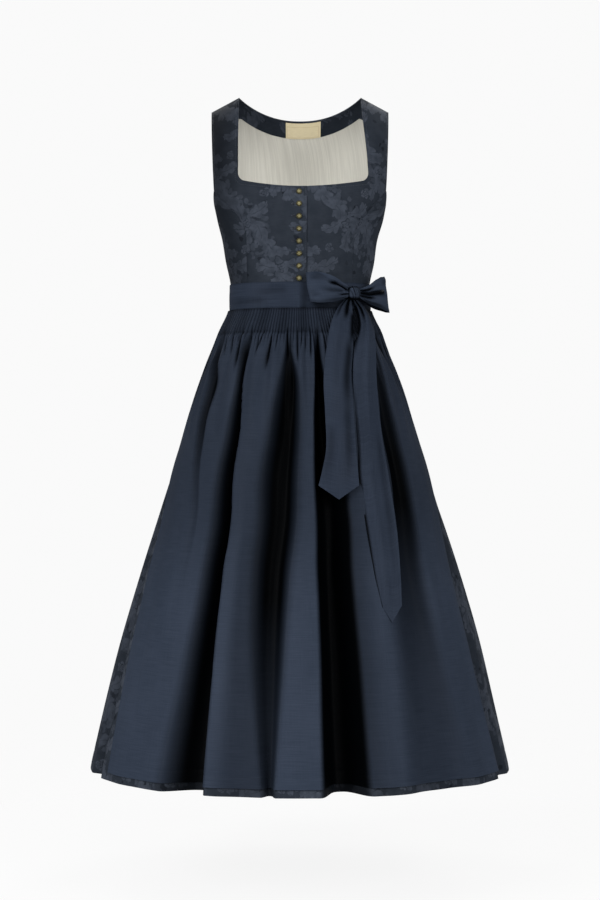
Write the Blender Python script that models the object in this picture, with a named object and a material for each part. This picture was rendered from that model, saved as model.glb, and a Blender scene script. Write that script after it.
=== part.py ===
"""A dirndl with its apron, worn hollow, as walls of cloth at real size.

X is the viewer's right, -Y the front, Z up. The origin lies between the shoulder straps.
Right and left in the names are the wearer's.
"""
import math
from collections import namedtuple

import bmesh
import bpy
from mathutils import Vector

# Cloth and seams
SEAM_GAP = 0.0003
BODICE_WALL = 0.0015
LINING_WALL = 0.0010
BAND_WALL = 0.0016
SKIRT_WALL = 0.0020
TIE_WALL = 0.0012

# Heights of the garment
SHOULDER_TOP = 0.014
CHEST_HEIGHT = -0.168
FRONT_NECK = -0.168
BACK_NECK = -0.021
WAIST_SEAM = -0.367
BAND_TOP = -0.343
BAND_BOTTOM = -0.3915
APRON_TOP = BAND_BOTTOM - SEAM_GAP
APRON_HEM = -1.237
SKIRT_HEM = -1.2512

# Neck, straps and armholes
NECK_HALF = 0.115
NECK_RIGHT_LOW = 0.127
NECK_CORNER_RISE = 0.010
NECK_CORNER_RADIUS = 0.017
STRAP_TIP = 0.168
STRAP_DROP = 0.0285
SLOPE_START = -0.120
FRONT_ROUND = 0.65
BACK_ROUND = 0.55
ARMHOLE_SHARE = 0.973
ARMHOLE_DIP = 0.022
FACING_DEPTH = 0.030
LINING_STEPS = (0.34, 0.67, 1.0)
FACING_STEPS = (0.40, 0.70, 0.90, 1.0)
LABEL_ENDS = (0.165, 0.240)
FRONT_EDGE = 0.0125
UNDERLAP_EDGE = -0.012

# Buttons, in a row down the overlap
BUTTON_COUNT = 8
BUTTON_RADIUS = 0.0053
BUTTON_DEPTH = 0.0030
BUTTON_FIRST = -0.1783
BUTTON_PITCH = 0.0226
BUTTON_X = -0.0016
BUTTON_STAND = 0.0005

# Gathers and columns of the skirt and the apron
APRON_COLUMNS = 80
BACK_COLUMNS = 24
GATHERED_ROWS = (APRON_TOP, -0.430, -0.500, -0.560)
FALLING_ROWS = (-0.660, -0.770, -0.880, -0.990, -1.110, APRON_HEM)
FAN_FOLDS = 9.0
FAN_DRIFT = 1.25

# Bow
KNOT_ANGLE = 50.0
KNOT_HEIGHT = -0.3634
KNOT_SIZE = (0.0260, 0.0180, 0.0250)

Torso = namedtuple("Torso", "height half_width front back power")
TORSO = (
    Torso(SHOULDER_TOP, 0.1726, 0.1050, 0.1060, 3.0),
    Torso(CHEST_HEIGHT, 0.1660, 0.1160, 0.1050, 3.0),
    Torso(-0.2150, 0.1577, 0.1185, 0.1030, 2.5),
    Torso(-0.2550, 0.1475, 0.1125, 0.1000, 2.4),
    Torso(-0.3000, 0.1398, 0.1050, 0.0965, 2.3),
    Torso(-0.3430, 0.1318, 0.0998, 0.0938, 2.3),
    Torso(-0.3670, 0.1318, 0.0995, 0.0935, 2.3),
    Torso(-0.4000, 0.1318, 0.0995, 0.0935, 2.3),
)

Seam = namedtuple("Seam", "height front back")
SEAMS = (
    Seam(-0.1680, ARMHOLE_SHARE, ARMHOLE_SHARE),
    Seam(-0.1900, 0.882, 0.860),
    Seam(-0.2130, 0.765, 0.730),
    Seam(-0.2340, 0.702, 0.662),
    Seam(-0.2550, 0.681, 0.640),
    Seam(-0.3000, 0.707, 0.640),
    Seam(-0.3430, 0.744, 0.660),
    Seam(WAIST_SEAM + SEAM_GAP, 0.744, 0.660),
)

Skirt = namedtuple("Skirt", "height half_width front back power")
SKIRT = (
    Skirt(WAIST_SEAM, 0.1309, 0.0986, 0.0926, 2.3),
    Skirt(APRON_TOP, 0.1309, 0.0986, 0.0926, 2.3),
    Skirt(-0.4300, 0.1445, 0.1130, 0.1070, 2.25),
    Skirt(-0.5000, 0.1715, 0.1420, 0.1360, 2.2),
    Skirt(-0.5600, 0.1940, 0.1655, 0.1595, 2.15),
    Skirt(-0.6600, 0.2285, 0.2020, 0.1960, 2.1),
    Skirt(-0.7700, 0.2640, 0.2395, 0.2335, 2.1),
    Skirt(-0.8800, 0.2995, 0.2770, 0.2710, 2.1),
    Skirt(-0.9900, 0.3310, 0.3105, 0.3045, 2.1),
    Skirt(-1.1100, 0.3610, 0.3425, 0.3365, 2.1),
    Skirt(APRON_HEM, 0.3925, 0.3755, 0.3695, 2.1),
    Skirt(SKIRT_HEM, 0.3952, 0.3785, 0.3725, 2.1),
)

ApronEdge = namedtuple("ApronEdge", "height right left")
APRON_EDGES = (
    ApronEdge(APRON_TOP, -100.0, 100.0),
    ApronEdge(-0.5600, -96.0, 98.0),
    ApronEdge(-0.6600, -86.0, 91.0),
    ApronEdge(-0.7700, -72.0, 79.0),
    ApronEdge(-0.8800, -68.0, 70.5),
    ApronEdge(-1.0500, -64.5, 67.5),
    ApronEdge(SKIRT_HEM, -61.0, 66.3),
)

Layer = namedtuple("Layer", "height lift apron_gather skirt_gather fan")
LAYERS = (
    Layer(WAIST_SEAM, 0.0042, 0.0012, 0.0006, 0.0),
    Layer(APRON_TOP, 0.0042, 0.0012, 0.0006, 0.0),
    Layer(-0.4300, 0.0074, 0.0015, 0.0020, 0.0008),
    Layer(-0.5000, 0.0070, 0.0010, 0.0014, 0.0028),
    Layer(-0.5600, 0.0062, 0.0004, 0.0006, 0.0022),
    Layer(-0.6600, 0.0034, 0.0, 0.0, 0.0),
    Layer(SKIRT_HEM, 0.0030, 0.0, 0.0, 0.0),
)

# Valleys of the large folds. Places and half widths run along the cloth: -1 to 1 is the apron
# and the skirt's front, 1 to 2 the skirt's left back, 2 to 3 its right back.
VALLEY_HEIGHTS = (-0.470, -0.750, -1.240)
Valley = namedtuple("Valley", "place half depth steep")
VALLEYS = (
    Valley((-0.700, -0.660, -0.660), (0.030, 0.030, 0.020), (0.008, 0.004, 0.000), 2),
    Valley((-0.455, -0.510, -0.523), (0.040, 0.045, 0.057), (0.012, 0.030, 0.034), 3),
    Valley((-0.095, -0.171, -0.178), (0.025, 0.085, 0.060), (0.008, 0.026, 0.018), 2),
    Valley((0.142, 0.093, 0.135), (0.025, 0.073, 0.086), (0.008, 0.036, 0.042), 4),
    Valley((0.520, 0.545, 0.525), (0.030, 0.050, 0.085), (0.006, 0.016, 0.012), 2),
    Valley((1.040, 0.990, 1.020), (0.030, 0.035, 0.040), (0.000, 0.006, 0.012), 2),
    Valley((1.330, 1.330, 1.345), (0.040, 0.050, 0.050), (0.008, 0.020, 0.028), 3),
    Valley((1.540, 1.530, 1.525), (0.040, 0.045, 0.045), (0.004, 0.016, 0.024), 2),
    Valley((1.700, 1.720, 1.725), (0.040, 0.050, 0.055), (0.010, 0.026, 0.034), 3),
    Valley((1.920, 1.930, 1.915), (0.040, 0.045, 0.040), (0.004, 0.014, 0.020), 2),
    Valley((2.100, 2.090, 2.105), (0.040, 0.050, 0.055), (0.010, 0.028, 0.036), 3),
    Valley((2.310, 2.300, 2.305), (0.040, 0.045, 0.045), (0.006, 0.018, 0.022), 2),
    Valley((2.500, 2.470, 2.480), (0.040, 0.050, 0.050), (0.008, 0.026, 0.032), 3),
    Valley((2.650, 2.640, 2.635), (0.030, 0.035, 0.035), (0.000, 0.010, 0.016), 2),
    Valley((2.930, 2.930, 2.920), (0.030, 0.035, 0.040), (0.000, 0.008, 0.014), 2),
)

# Loops of the bow: stations along the tie, out from the band's face, from knot to knot
Station = namedtuple("Station", "angle out bottom top")
LOOP_RIGHT = (
    Station(43.1, 0.0060, -0.3710, -0.3530),
    Station(38.0, 0.0035, -0.3740, -0.3480),
    Station(28.0, 0.0020, -0.3790, -0.3370),
    Station(15.0, 0.0020, -0.3820, -0.3290),
    Station(9.0, 0.0040, -0.3820, -0.3275),
    Station(7.5, 0.0090, -0.3820, -0.3270),
    Station(10.0, 0.0140, -0.3820, -0.3270),
    Station(17.0, 0.0180, -0.3830, -0.3260),
    Station(28.0, 0.0190, -0.3810, -0.3330),
    Station(38.0, 0.0150, -0.3750, -0.3450),
    Station(43.1, 0.0120, -0.3710, -0.3510),
)
LOOP_LEFT = (
    Station(54.9, 0.0072, -0.3720, -0.3560),
    Station(61.0, 0.0070, -0.3800, -0.3530),
    Station(69.0, 0.0130, -0.3900, -0.3430),
    Station(75.0, 0.0240, -0.3970, -0.3360),
    Station(76.5, 0.0300, -0.3990, -0.3345),
    Station(75.0, 0.0350, -0.3990, -0.3345),
    Station(71.0, 0.0360, -0.3980, -0.3360),
    Station(65.0, 0.0290, -0.3920, -0.3400),
    Station(60.0, 0.0190, -0.3820, -0.3480),
    Station(54.0, 0.0125, -0.3720, -0.3550),
)

# Tails of the bow: edges seen from the front, and how far each lies out from the skirt's form
Tail = namedtuple("Tail", "height right left out")
TAIL_SHORT = (
    Tail(-0.3756, 0.0880, 0.0935, 0.0115),
    Tail(-0.3900, 0.0740, 0.0950, 0.0165),
    Tail(-0.4150, 0.0570, 0.0960, 0.0200),
    Tail(-0.4570, 0.0480, 0.0980, 0.0205),
    Tail(-0.5250, 0.0430, 0.0935, 0.0170),
    Tail(-0.5800, 0.0450, 0.0970, 0.0140),
    Tail(-0.6500, 0.0470, 0.1010, 0.0110),
    Tail(-0.6900, 0.0400, 0.1040, 0.0100),
    Tail(-0.7180, 0.0330, 0.1060, 0.0100),
)
TAIL_LONG = (
    Tail(-0.3756, 0.0950, 0.1030, 0.0115),
    Tail(-0.3950, 0.1030, 0.1240, 0.0160),
    Tail(-0.4240, 0.1080, 0.1370, 0.0175),
    Tail(-0.4590, 0.1000, 0.1400, 0.0170),
    Tail(-0.5250, 0.0970, 0.1410, 0.0140),
    Tail(-0.5900, 0.1010, 0.1450, 0.0105),
    Tail(-0.6470, 0.1050, 0.1520, 0.0080),
    Tail(-0.7170, 0.1070, 0.1630, 0.0070),
    Tail(-0.7970, 0.1190, 0.1740, 0.0065),
    Tail(-0.8800, 0.1330, 0.1795, 0.0060),
    Tail(-0.9310, 0.1450, 0.1805, 0.0060),
)
TAIL_SHORT_POINT = 0.025
TAIL_LONG_POINT = 0.028


def clear_scene():
    for old in list(bpy.data.objects):
        bpy.data.objects.remove(old, do_unlink=True)


def make_material(name, colour, roughness, metallic=0.0):
    material = bpy.data.materials.new(name)
    material.use_nodes = True
    shader = material.node_tree.nodes["Principled BSDF"]
    shader.inputs["Base Color"].default_value = (*colour, 1.0)
    shader.inputs["Roughness"].default_value = roughness
    shader.inputs["Metallic"].default_value = metallic
    return material


def smoothstep(low, high, value):
    share = min(max((value - low) / (high - low), 0.0), 1.0)
    return share * share * (3.0 - 2.0 * share)


def lookup(table, height, column):
    """Value of a column at a height, on a smooth curve through the table's rows."""
    if height >= table[0].height:
        return getattr(table[0], column)
    for index in range(len(table) - 1):
        upper = table[index]
        lower = table[index + 1]
        if height >= lower.height:
            break
    else:
        return getattr(table[-1], column)

    def slope(middle):
        before = table[max(middle - 1, 0)]
        after = table[min(middle + 1, len(table) - 1)]
        run = after.height - before.height
        return (getattr(after, column) - getattr(before, column)) / run

    run = lower.height - upper.height
    share = (height - upper.height) / run
    start = getattr(upper, column)
    end = getattr(lower, column)
    bend_start = slope(index) * run - (end - start)
    bend_end = (end - start) - slope(index + 1) * run
    rest = 1.0 - share
    return rest * start + share * end + share * rest * (rest * bend_start + share * bend_end)


def outward_at(angle):
    """Level direction out at an angle in degrees, 0 in front."""
    return Vector((math.sin(math.radians(angle)), -math.cos(math.radians(angle)), 0.0))


def three_point(values, height):
    """A fold's value at a height, from its values at the three valley heights."""
    top, middle, hem = VALLEY_HEIGHTS
    if height >= middle:
        share = min(max((height - middle) / (top - middle), 0.0), 1.0)
        return values[1] + (values[0] - values[1]) * share
    share = min((middle - height) / (middle - hem), 1.0)
    return values[1] + (values[2] - values[1]) * share


def cloth_wall(name, points, normals, faces, thickness, material):
    """A wall of cloth: the faces on both sides of the points, joined round their edges.

    Each quad is cut along the same diagonal on both sides, so that walls on the same points
    lie parallel.
    """
    count = len(points)
    half = thickness / 2.0
    shell = [point + normal * half for point, normal in zip(points, normals)]
    shell += [point - normal * half for point, normal in zip(points, normals)]
    corners = [(0, index, index + 1) for index in (1, 2)]
    faces = [tuple(face[corner] for corner in triangle)
             for face in faces for triangle in corners[:len(face) - 2]]
    edges = {}
    for face in faces:
        for start, end in zip(face, face[1:] + face[:1]):
            edges[(start, end)] = True
    rims = [(end, start, start + count, end + count)
            for start, end in edges if (end, start) not in edges]
    inner = [tuple(index + count for index in reversed(face)) for face in faces]
    mesh = bpy.data.meshes.new(name)
    mesh.from_pydata(shell, [], list(faces) + inner + rims)
    tidy = bmesh.new()
    tidy.from_mesh(mesh)
    loose = [vertex for vertex in tidy.verts if not vertex.link_faces]
    bmesh.ops.delete(tidy, geom=loose, context="VERTS")
    bmesh.ops.recalc_face_normals(tidy, faces=tidy.faces)
    tidy.to_mesh(mesh)
    tidy.free()
    return add_object(name, mesh, material)


def add_object(name, mesh, material):
    mesh.materials.append(material)
    mesh.shade_smooth()
    mesh.set_sharp_from_angle(angle=math.radians(40.0))
    body = bpy.data.objects.new(name, mesh)
    bpy.context.scene.collection.objects.link(body)
    return body


def grid_faces(columns, rows, keep=lambda column, row: True, closed=False):
    """Quads of a grid whose points are listed row by row, each row column by column."""
    wrap = columns if closed else columns + 1
    faces = []
    for row in range(rows):
        for column in range(columns):
            if keep(column, row):
                here = row * wrap + column
                beside = row * wrap + (column + 1) % wrap
                faces.append((here, beside, beside + wrap, here + wrap))
    return faces


def grid_normals(points, columns, rows):
    """Unit normals of an open grid of points, from each point's neighbours."""
    wrap = columns + 1
    normals = []
    for row in range(rows + 1):
        for column in range(wrap):
            left = points[row * wrap + max(column - 1, 0)]
            right = points[row * wrap + min(column + 1, columns)]
            below = points[max(row - 1, 0) * wrap + column]
            above = points[min(row + 1, rows) * wrap + column]
            normals.append((right - left).cross(above - below).normalized())
    return normals


# Torso

def torso_size(height):
    """Half width, front depth, back depth and power of the torso's section at a height."""
    half_width = lookup(TORSO, height, "half_width")
    if height <= CHEST_HEIGHT:
        front = lookup(TORSO, height, "front")
        back = lookup(TORSO, height, "back")
        return half_width, front, back, lookup(TORSO, height, "power")
    rise = min((height - CHEST_HEIGHT) / (SHOULDER_TOP - CHEST_HEIGHT), 1.0)
    left = 1.0 - rise * rise
    chest = TORSO[1]
    return half_width, chest.front * left ** FRONT_ROUND, chest.back * left ** BACK_ROUND, chest.power


def torso_point(turn, height):
    """Point of the torso at a turn in degrees, 0 in front, 90 at the left side, 180 behind."""
    half_width, front, back, power = torso_size(height)
    sine = math.sin(math.radians(turn))
    cosine = math.cos(math.radians(turn))
    x = math.copysign(half_width * abs(sine) ** (2.0 / power), sine)
    depth = front if cosine > 0.0 else back
    y = -math.copysign(max(depth * abs(cosine) ** (2.0 / power), SEAM_GAP / 2.0), cosine)
    past_neck = min(max((abs(x) - NECK_HALF) / (STRAP_TIP - NECK_HALF), 0.0), 1.0)
    drop = STRAP_DROP * past_neck * smoothstep(SLOPE_START, SHOULDER_TOP, height)
    return Vector((x, y, height - drop))


def torso_normal(turn, height):
    """Outward normal of the torso, upright along the shoulder line."""
    step_turn = 0.2
    step_height = 0.0004
    across = torso_point(turn + step_turn, height) - torso_point(turn - step_turn, height)
    up = torso_point(turn, height) - torso_point(turn, height - step_height)
    normal = across.cross(up).normalized()
    if height >= SHOULDER_TOP:
        normal.y = 0.0
        normal.normalize()
    return normal


def turn_at(x, height, behind=False):
    """Turn whose point lies at a distance x from the middle, at a height."""
    half_width, _, _, power = torso_size(height)
    share = min(abs(x) / half_width, 1.0)
    turn = math.degrees(math.asin(share ** (power / 2.0)))
    if behind:
        turn = 180.0 - turn
    return math.copysign(turn, x)


def torso_wall(name, places, columns, rows, thickness, material, keep=None, inset=None):
    """A wall on the torso through places (turn, height), moved in by an inset each."""
    insets = inset or [0.0] * len(places)
    normals = [torso_normal(turn, height) for turn, height in places]
    points = [torso_point(turn, height) - normal * depth
              for (turn, height), normal, depth in zip(places, normals, insets)]
    faces = grid_faces(columns, rows, keep or (lambda column, row: True))
    return cloth_wall(name, points, normals, faces, thickness, material)


def front_panel(name, side, centre, under, material):
    """One front: a block up to the neckline and a strap up to the shoulder."""
    block_columns = 8
    strap_columns = 4
    strap_shares = (0.03, 0.065, 0.10, 0.22, 0.40, 0.58, 0.75, 0.88, 0.96, 1.0)
    block_rows = list(reversed(SEAMS))
    corner = FRONT_NECK + NECK_CORNER_RISE
    places = []
    insets = []
    for row in range(len(block_rows) + len(strap_shares)):
        in_strap = row >= len(block_rows)
        if in_strap:
            share = strap_shares[row - len(block_rows)]
            guide_height = corner + (SHOULDER_TOP - corner) * share
            edge_height = SEAMS[0].height + (SHOULDER_TOP - SEAMS[0].height) * share
            edge_share = ARMHOLE_SHARE
        else:
            guide_height = edge_height = block_rows[row].height
            edge_share = block_rows[row].front
            if row == len(block_rows) - 1:
                guide_height = corner
        outer = edge_share * torso_size(edge_height)[0] - SEAM_GAP / 2.0
        neck_low = NECK_RIGHT_LOW if side > 0 else NECK_HALF
        neck = neck_low + (NECK_HALF - neck_low) * smoothstep(corner, SHOULDER_TOP, guide_height)
        climb = min(max(guide_height - corner, 0.0), NECK_CORNER_RADIUS)
        left_over = NECK_CORNER_RADIUS - climb
        neck -= NECK_CORNER_RADIUS - math.sqrt(NECK_CORNER_RADIUS ** 2 - left_over ** 2)
        guide = neck if guide_height >= corner else min(neck, 0.80 * outer)
        for column in range(block_columns + strap_columns + 1):
            if column <= block_columns:
                if column < len(centre):
                    x = centre[column]
                else:
                    run = (column - len(centre) + 1) / (block_columns - len(centre) + 1)
                    x = centre[-1] + (side * guide - centre[-1]) * run
                height = guide_height
                if row == len(block_rows) - 1:
                    height = FRONT_NECK + NECK_CORNER_RISE * (x / guide) ** 2
            else:
                run = (column - block_columns) / strap_columns
                x = side * (guide + (outer - guide) * run)
                height = guide_height + (edge_height - guide_height) * run
            places.append((turn_at(x, height), height))
            insets.append(BODICE_WALL + 1.5 * SEAM_GAP if column < under else 0.0)
    rows = len(block_rows) + len(strap_shares) - 1

    def keep(column, row):
        return column >= block_columns or row < len(block_rows) - 1

    torso_wall(name, places, block_columns + strap_columns, rows, BODICE_WALL, material,
               keep, insets)


def side_panel(name, side, material):
    """One side, from the front seam round to the back seam, up to the armhole."""
    columns = 8
    rows = list(reversed(SEAMS))
    places = []
    for row, seam in enumerate(rows):
        half_width = torso_size(seam.height)[0]
        start = turn_at(seam.front * half_width + SEAM_GAP / 2.0, seam.height)
        end = turn_at(seam.back * half_width + SEAM_GAP / 2.0, seam.height, behind=True)
        reach = smoothstep(2, len(rows) - 1, row)
        for column in range(columns + 1):
            run = column / columns
            turn = start + (end - start) * run
            dip = ARMHOLE_DIP * reach * math.sin(math.pi * run)
            places.append((side * turn, seam.height - dip))
    torso_wall(name, places, columns, len(rows) - 1, BODICE_WALL, material)


def back_top(x):
    """Height of the back's top edge: the neckline, then the shoulder line."""
    share = min(abs(x) / NECK_HALF, 1.0)
    return BACK_NECK + (SHOULDER_TOP - BACK_NECK) * share ** 2.2


def back_columns(right_end, left_end):
    """Shares of the back's half width, with columns at the label's ends and the neck's corners."""
    corner = NECK_HALF / STRAP_TIP
    half = [0.0, *LABEL_ENDS, 0.36, 0.48, 0.58, corner, 0.79, 0.90, 1.0]
    shares = [-share for share in reversed(half[1:])] + half
    return [share for share in shares if right_end - 0.001 <= share <= left_end + 0.001]


def back_rows(shares):
    """Rows of places on the back: up to the armhole, to the facing's lower edge, to the top."""
    rows = []
    for seam in reversed(SEAMS):
        outer = seam.back * torso_size(seam.height)[0] - SEAM_GAP / 2.0
        rows.append([(turn_at(share * outer, seam.height, behind=True), seam.height)
                     for share in shares])
    steps = [(step, 0.0) for step in LINING_STEPS] + [(1.0, step) for step in FACING_STEPS]
    for lining_step, facing_step in steps:
        row = []
        for share in shares:
            top = back_top(share * STRAP_TIP)
            base = SEAMS[0].height
            height = base + (top - FACING_DEPTH - base) * lining_step + FACING_DEPTH * facing_step
            outer = ARMHOLE_SHARE * torso_size(height)[0] - SEAM_GAP / 2.0
            row.append((turn_at(share * outer, height, behind=True), height))
        rows.append(row)
    return rows


def back_layer(name, shares, first, last, layers_in, material, shorten=0.0):
    """A wall on the back's rows from first to last, a number of layers in from the back."""
    rows = back_rows(shares)[first:last]
    rows[-1] = [(turn, height - shorten) for turn, height in rows[-1]]
    places = [place for row in rows for place in row]
    if layers_in == 0:
        thickness = BODICE_WALL
        inset = 0.0
    else:
        thickness = LINING_WALL
        inset = (BODICE_WALL - LINING_WALL) / 2.0 + layers_in * (LINING_WALL + SEAM_GAP)
    torso_wall(name, places, len(shares) - 1, len(rows) - 1, thickness, material,
               inset=[inset] * len(places))


def back_pieces(jacquard, lining, label):
    """The back, with the lining and the neck facing inside it, and the label on the facing."""
    facing_row = len(SEAMS) + len(LINING_STEPS) - 1
    label_right, label_left = LABEL_ENDS
    back_layer("bodice_back", back_columns(-1.0, 1.0), 0, None, 0, jacquard)
    back_layer("lining_back", back_columns(-0.90, 0.90), 0, facing_row + 1, 1, lining,
               shorten=SEAM_GAP)
    back_layer("neck_facing", back_columns(-0.79, 0.79), facing_row, None, 1, jacquard)
    back_layer("label", back_columns(-label_right, label_left), facing_row, -1, 2, label)


def close_rings(name, mesh, rings, material):
    """A closed body through rings of vertices, with a flat cap at each end."""
    for low, high in zip(rings, rings[1:]):
        for index in range(len(low)):
            after = (index + 1) % len(low)
            mesh.faces.new((low[index], low[after], high[after], high[index]))
    mesh.faces.new(list(reversed(rings[0])))
    mesh.faces.new(rings[-1])
    bmesh.ops.recalc_face_normals(mesh, faces=mesh.faces)
    data = bpy.data.meshes.new(name)
    mesh.to_mesh(data)
    mesh.free()
    add_object(name, data, material)


def add_button(name, height, material):
    """A round button with a low dome, flat against the right front."""
    segments = 12
    profile = ((0.84, 0.0), (1.0, 0.35), (0.92, 0.75), (0.55, 0.97))
    turn = turn_at(BUTTON_X, height)
    normal = torso_normal(turn, height)
    seat = torso_point(turn, height) + normal * (BODICE_WALL / 2.0 + BUTTON_STAND)
    across = Vector((0.0, 0.0, 1.0)).cross(normal).normalized()
    upward = normal.cross(across)
    mesh = bmesh.new()
    rings = []
    for wide, deep in profile:
        ring = []
        for index in range(segments):
            angle = 2.0 * math.pi * index / segments
            spoke = across * math.cos(angle) + upward * math.sin(angle)
            ring.append(mesh.verts.new(
                seat + spoke * (wide * BUTTON_RADIUS) + normal * (deep * BUTTON_DEPTH)))
        rings.append(ring)
    close_rings(name, mesh, rings, material)


# Skirt and apron

def section_radius(angle, half_width, front, back, power):
    """Distance out to a rounded section at an angle in degrees, 0 in front."""
    sine = abs(math.sin(math.radians(angle)))
    cosine = math.cos(math.radians(angle))
    depth = front if cosine > 0.0 else back
    return ((sine / half_width) ** power + (abs(cosine) / depth) ** power) ** (-1.0 / power)


def skirt_radius(angle, height):
    sizes = [lookup(SKIRT, height, column)
             for column in ("half_width", "front", "back", "power")]
    return section_radius(angle, *sizes)


def cloth_angle(place, height):
    """Angle at a place along the cloth: -1 to 1 across the apron, 1 to 3 round the back."""
    right = lookup(APRON_EDGES, height, "right")
    left = lookup(APRON_EDGES, height, "left")
    if place <= 1.0:
        return right + (left - right) * (place + 1.0) / 2.0
    return left + (360.0 + right - left) * (place - 1.0) / 2.0


def fold_depth(place, height):
    """How far the large folds draw the cloth in at a place."""
    depth = 0.0
    for valley in VALLEYS:
        middle = three_point(valley.place, height)
        half = three_point(valley.half, height)
        away = abs((place - middle + 2.0) % 4.0 - 2.0) / half
        if away < 1.0:
            depth += three_point(valley.depth, height) * (1.0 - away ** valley.steep)
    fade = smoothstep(APRON_TOP, VALLEY_HEIGHTS[0], height)
    return depth * fade


def cloth_point(place, height, out):
    """Point of the skirt's form, with its large folds, moved out."""
    angle = cloth_angle(place, height)
    fan = lookup(LAYERS, height, "fan")
    drift = 0.35 * math.sin(2.0 * math.pi * FAN_DRIFT * place)
    fan *= math.cos(2.0 * math.pi * (FAN_FOLDS * place + drift))
    radius = skirt_radius(angle, height) - fold_depth(place, height) + fan + out
    outward = outward_at(angle)
    return outward * radius + Vector((0.0, 0.0, height)), outward


def make_skirt_panel(name, first, last, columns, material):
    """One width of the skirt between two places, gathered at the waist, falling to the hem."""
    rows = (WAIST_SEAM,) + GATHERED_ROWS + FALLING_ROWS + (SKIRT_HEM,)
    points = []
    normals = []
    for height in rows:
        gather = lookup(LAYERS, height, "skirt_gather")
        for index in range(columns + 1):
            place = first + (last - first) * index / columns
            point, outward = cloth_point(place, height, gather * (-1) ** index)
            along = Vector((-outward.y, outward.x, 0.0))
            if index == 0:
                point += along * (SEAM_GAP / 2.0)
            elif index == columns:
                point -= along * (SEAM_GAP / 2.0)
            points.append(point)
            normals.append(outward)
    faces = grid_faces(columns, len(rows) - 1)
    cloth_wall(name, points, normals, faces, SKIRT_WALL, material)


def make_apron(name, material):
    """The apron: two columns for each gather at the band, one below the gathered part."""
    points = []
    normals = []
    starts = []
    for height in GATHERED_ROWS + FALLING_ROWS:
        columns = APRON_COLUMNS * (2 if height in GATHERED_ROWS else 1)
        gather = lookup(LAYERS, height, "apron_gather")
        lift = lookup(LAYERS, height, "lift")
        starts.append((len(points), columns))
        for index in range(columns + 1):
            place = -1.0 + 2.0 * index / columns
            point, outward = cloth_point(place, height, lift + gather * (-1) ** index)
            points.append(point)
            normals.append(outward)
    faces = []
    for (upper, upper_columns), (lower, lower_columns) in zip(starts, starts[1:]):
        for column in range(lower_columns):
            below = lower + column
            if upper_columns == lower_columns:
                above = upper + column
                faces.append((above, above + 1, below + 1, below))
            else:
                above = upper + 2 * column
                faces.append((above, above + 1, below + 1))
                faces.append((above + 1, above + 2, below + 1))
                faces.append((above, below + 1, below))
    cloth_wall(name, points, normals, faces, SKIRT_WALL, material)


def band_point(angle, height, out):
    """Point at a distance out from the band's outer face."""
    half_width, front, back, power = torso_size(min(height, BAND_TOP))
    radius = section_radius(angle, half_width, front, back, power)
    radius += BODICE_WALL / 2.0 + SEAM_GAP + BAND_WALL + out
    outward = outward_at(angle)
    return outward * radius + Vector((0.0, 0.0, height)), outward


def make_band(name, material):
    """The apron's band and ties, wound round the waist as one closed ring."""
    columns = 60
    heights = (BAND_BOTTOM, (BAND_BOTTOM + BAND_TOP) / 2.0, BAND_TOP)
    points = []
    normals = []
    for height in heights:
        for index in range(columns):
            point, outward = band_point(360.0 * index / columns, height, -BAND_WALL / 2.0)
            points.append(point)
            normals.append(outward)
    faces = grid_faces(columns, len(heights) - 1, closed=True)
    cloth_wall(name, points, normals, faces, BAND_WALL, material)


def make_knot(name, material):
    """The knot: a short, full roll of cloth on the band."""
    around = 12
    along = 6
    power = 4.0
    upward = Vector((0.0, 0.0, 1.0))
    before = band_point(KNOT_ANGLE - 1.0, KNOT_HEIGHT, 0.0)[0]
    after = band_point(KNOT_ANGLE + 1.0, KNOT_HEIGHT, 0.0)[0]
    tangent = (after - before).normalized()
    outward = tangent.cross(upward)
    seat = band_point(KNOT_ANGLE, KNOT_HEIGHT, 0.0)[0]
    seat += outward * (SEAM_GAP + KNOT_SIZE[1] / 2.0)

    def rounded(value):
        return math.copysign(abs(value) ** (2.0 / power), value)

    mesh = bmesh.new()
    rings = []
    for step in range(1, along):
        tilt = math.pi * step / along - math.pi / 2.0
        ring = []
        for index in range(around):
            turn = 2.0 * math.pi * index / around
            waist = rounded(math.cos(tilt)) / 2.0
            along_tie = tangent * (KNOT_SIZE[0] * waist * rounded(math.cos(turn)))
            outwards = outward * (KNOT_SIZE[1] * waist * rounded(math.sin(turn)))
            upwards = upward * (KNOT_SIZE[2] / 2.0 * rounded(math.sin(tilt)))
            ring.append(mesh.verts.new(seat + along_tie + outwards + upwards))
        rings.append(ring)
    close_rings(name, mesh, rings, material)


def make_loop(name, stations, material):
    """One loop of the bow: a strip of the tie out from the knot and back to it."""
    rows = 3
    points = []
    for row in range(rows + 1):
        for station in stations:
            height = station.bottom + (station.top - station.bottom) * row / rows
            points.append(band_point(station.angle, height, station.out)[0])
    columns = len(stations) - 1
    normals = grid_normals(points, columns, rows)
    faces = grid_faces(columns, rows)
    cloth_wall(name, points, normals, faces, TIE_WALL, material)


def make_tail(name, table, point_drop, material):
    """One tail of the bow, hanging over the apron, cut to a point."""
    columns = 4
    points = []
    for row, station in enumerate(table):
        for column in range(columns + 1):
            run = column / columns
            x = station.right + (station.left - station.right) * run
            height = station.height
            if row == len(table) - 1:
                height -= point_drop * (1.0 - abs(2.0 * run - 1.0))
            angle = 0.0
            for _ in range(8):
                radius = skirt_radius(angle, height) + station.out
                angle = math.degrees(math.asin(min(x / radius, 1.0)))
            radius = skirt_radius(angle, height) + station.out
            points.append(outward_at(angle) * radius + Vector((0.0, 0.0, height)))
    rows = len(table) - 1
    faces = [tuple(reversed(face)) for face in grid_faces(columns, rows)]
    normals = [-normal for normal in grid_normals(points, columns, rows)]
    cloth_wall(name, points, normals, faces, TIE_WALL, material)


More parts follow.
